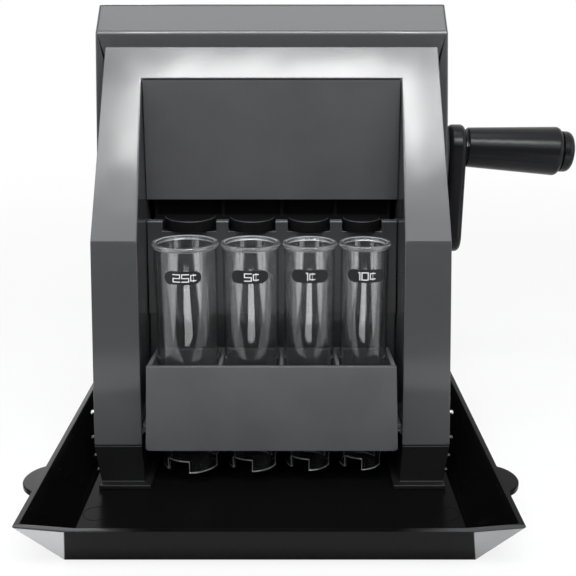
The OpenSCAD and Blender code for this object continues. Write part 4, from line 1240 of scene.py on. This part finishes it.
@dataclass
class Studio:
    """Floor, lamps, white surround and camera."""

    floor_half: float = 6.0
    floor_height: float = -0.05 * MM
    card_height: float = -0.03 * MM
    fill: float = 0.2
    camera_at: Point = (7.1 * MM, -386.7 * MM, 198.0 * MM)
    pitch: float = math.radians(16.0)
    focal_pixels: float = 875.0
    image_pixels: float = 576.0
    sensor: float = 36.0
    clip: Pair = (0.01, 50.0)
    flag_at: float = -0.85
    flag_half: float = 0.6
    flag_high: float = 0.75
    cards: tuple[Card, ...] = (
        Card("card_low", -0.108, -0.06, 0.16, cloth("grey_cloth", (0.4, 0.4, 0.41))),
        Card("card_near", -0.2, -0.108, 0.2, cloth("pale_cloth", (0.6, 0.6, 0.61))),
        Card("card_far", -0.75, -0.2, 0.2, cloth("black_cloth", (0.03, 0.03, 0.031))))
    lamps: tuple[Softbox, ...] = (
        Softbox("lamp_front", (0.005, -0.445, 0.65), (0.0, -0.01, 0.165), 0.15, 0.13, 14.8, rays=Rays.MATTE),
        Softbox("lamp_front_right", (0.19, -0.4524, 0.6426), (0.03, -0.01, 0.165), 0.22, 0.19, 11.8, rays=Rays.MATTE),
        Softbox("lamp_front_left", (-0.185, -0.4435, 0.6515), (-0.03, -0.01, 0.165), 0.23, 0.165, 9.5,
                rays=Rays.MATTE),
        Softbox.mirrored("mirror_front", (-0.13, 0.12), (43.5, 47.3), 20.0),
        Softbox.mirrored("mirror_left", (-0.185, -0.13), (35.9, 46.2), 14.0),
        Softbox.mirrored("mirror_far_left", (-0.32, -0.185), (35.9, 46.2), 4.6),
        Softbox.mirrored("mirror_right", (0.13, 0.16), (36.9, 46.7), 21.0),
        Softbox.mirrored("mirror_far_right", (0.16, 0.215), (37.4, 46.7), 7.4),
        Softbox.mirrored("mirror_grip", (0.215, 0.285), (38.0, 52.0), 24.0),
        Softbox.mirrored("mirror_high", (-0.35, 0.35), (47.3, 54.3), 3.8),
        Softbox("lamp_chest", (0.0, -0.61, 0.50), (0.0, -0.02, 0.13), 0.8, 0.18, 2.4, COOL),
        Softbox("lamp_top", (0.0, -0.13, 0.90), (0.0, 0.02, 0.2), 0.5, 0.3, 2.7, COOL),
        Softbox("lamp_back", (-0.43, 0.96, 0.57), (-0.09, -0.06, 0.02), 0.5, 0.5, 2.4),
        Softbox("lamp_left", (-0.6, -0.3, 0.30), (0.0, 0.0, 0.1), 0.4, 0.5, 1.0, COOL),
        Softbox("lamp_right", (0.6, -0.3, 0.30), (0.0, 0.0, 0.1), 0.4, 0.5, 1.0, COOL),
        Softbox("lamp_card", (0.0, -0.275, 0.003), (0.0, -0.2, 1.0), 0.12, 0.16, 2.4, rays=Rays.MIRRORED),
        Softbox("lamp_band_left", (-0.3, -0.2, 0.003), (-0.3, -0.1, 1.0), 0.2, 0.3, 1.2, rays=Rays.MIRRORED),
        Softbox("lamp_band_right", (0.3, -0.2, 0.003), (0.3, -0.1, 1.0), 0.2, 0.3, 1.2, rays=Rays.MIRRORED),
    )

    def level(self, half: float, front: float, back: float, high: float) -> list[Point]:
        """Return the corners of a level sheet."""
        return [(-half, front, high), (half, front, high), (half, back, high), (-half, back, high)]

    def sheet(self, name: str, corners: Sequence[Point], finish: Finish) -> bpy.types.Object:
        """Return a flat stage sheet.

        Args:
            name: its name.
            corners: its corners in order.
            finish: its finish.

        Returns:
            The sheet.
        """
        data = bpy.data.meshes.new(name)
        data.from_pydata(corners, [], [range(len(corners))])
        data.materials.append(finish.material())
        made = link(name, data)
        return made

    def surround(self) -> None:
        """Make the world: white where it is looked at, and a plain fill light."""
        world = bpy.data.worlds.new("studio")
        bpy.context.scene.world = world
        world.use_nodes = True
        world.node_tree.nodes.clear()
        graph = Graph(world.node_tree)
        fill = graph.add("ShaderNodeBackground", {"Color": WHITE, "Strength": self.fill})
        look = graph.add("ShaderNodeBackground", {"Color": WHITE, "Strength": 1.0})
        seen, mirrored = graph.looks()
        graph.add("ShaderNodeOutputWorld", {"Surface": graph.mixed(seen.most(mirrored), fill, look)})

    def camera(self) -> None:
        """Add the camera at the photograph's place."""
        data = bpy.data.cameras.new("camera")
        data.sensor_width = self.sensor
        data.lens = self.focal_pixels / self.image_pixels * self.sensor
        data.clip_start, data.clip_end = self.clip
        made = link("camera", data)
        made.location = self.camera_at
        made.rotation_euler = (math.pi / 2.0 - self.pitch, 0.0, 0.0)
        bpy.context.scene.camera = made

    def lay(self, card: Card) -> None:
        """Lay a card just over the floor, out of the camera's sight."""
        made = self.sheet(card.name, self.level(card.half, card.front, card.back, self.card_height), card.finish)
        made.visible_camera = made.visible_diffuse = made.visible_shadow = False

    def build(self) -> None:
        """Build the stage, the lamps and the camera."""
        far = self.floor_half
        self.sheet("floor", self.level(far, -far, far, self.floor_height), PaleFloor("pale_floor"))
        near, half, high = self.flag_at, self.flag_half, self.flag_high
        flag = self.sheet("flag", [(-half, near, 0.0), (half, near, 0.0), (half, near, high), (-half, near, high)],
                          cloth("dark_cloth", (0.022, 0.022, 0.023)))
        flag.visible_camera = False
        for card in self.cards:
            self.lay(card)
        for lamp in self.lamps:
            lamp.hang()
        self.surround()
        self.camera()
        bpy.context.scene.view_settings.view_transform = "Standard"


def main() -> None:
    """Build and dress each sub-assembly, then the studio."""
    logging.basicConfig(level=logging.INFO, format="%(name)s: %(message)s")
    for assembly in (Tray(), Frame(), Housing(), Chutes(), Hopper(), Crank(), TubeRack()):
        assembly.build()
        assembly.finish()
    Studio().build()


if __name__ == "__main__":
    main()
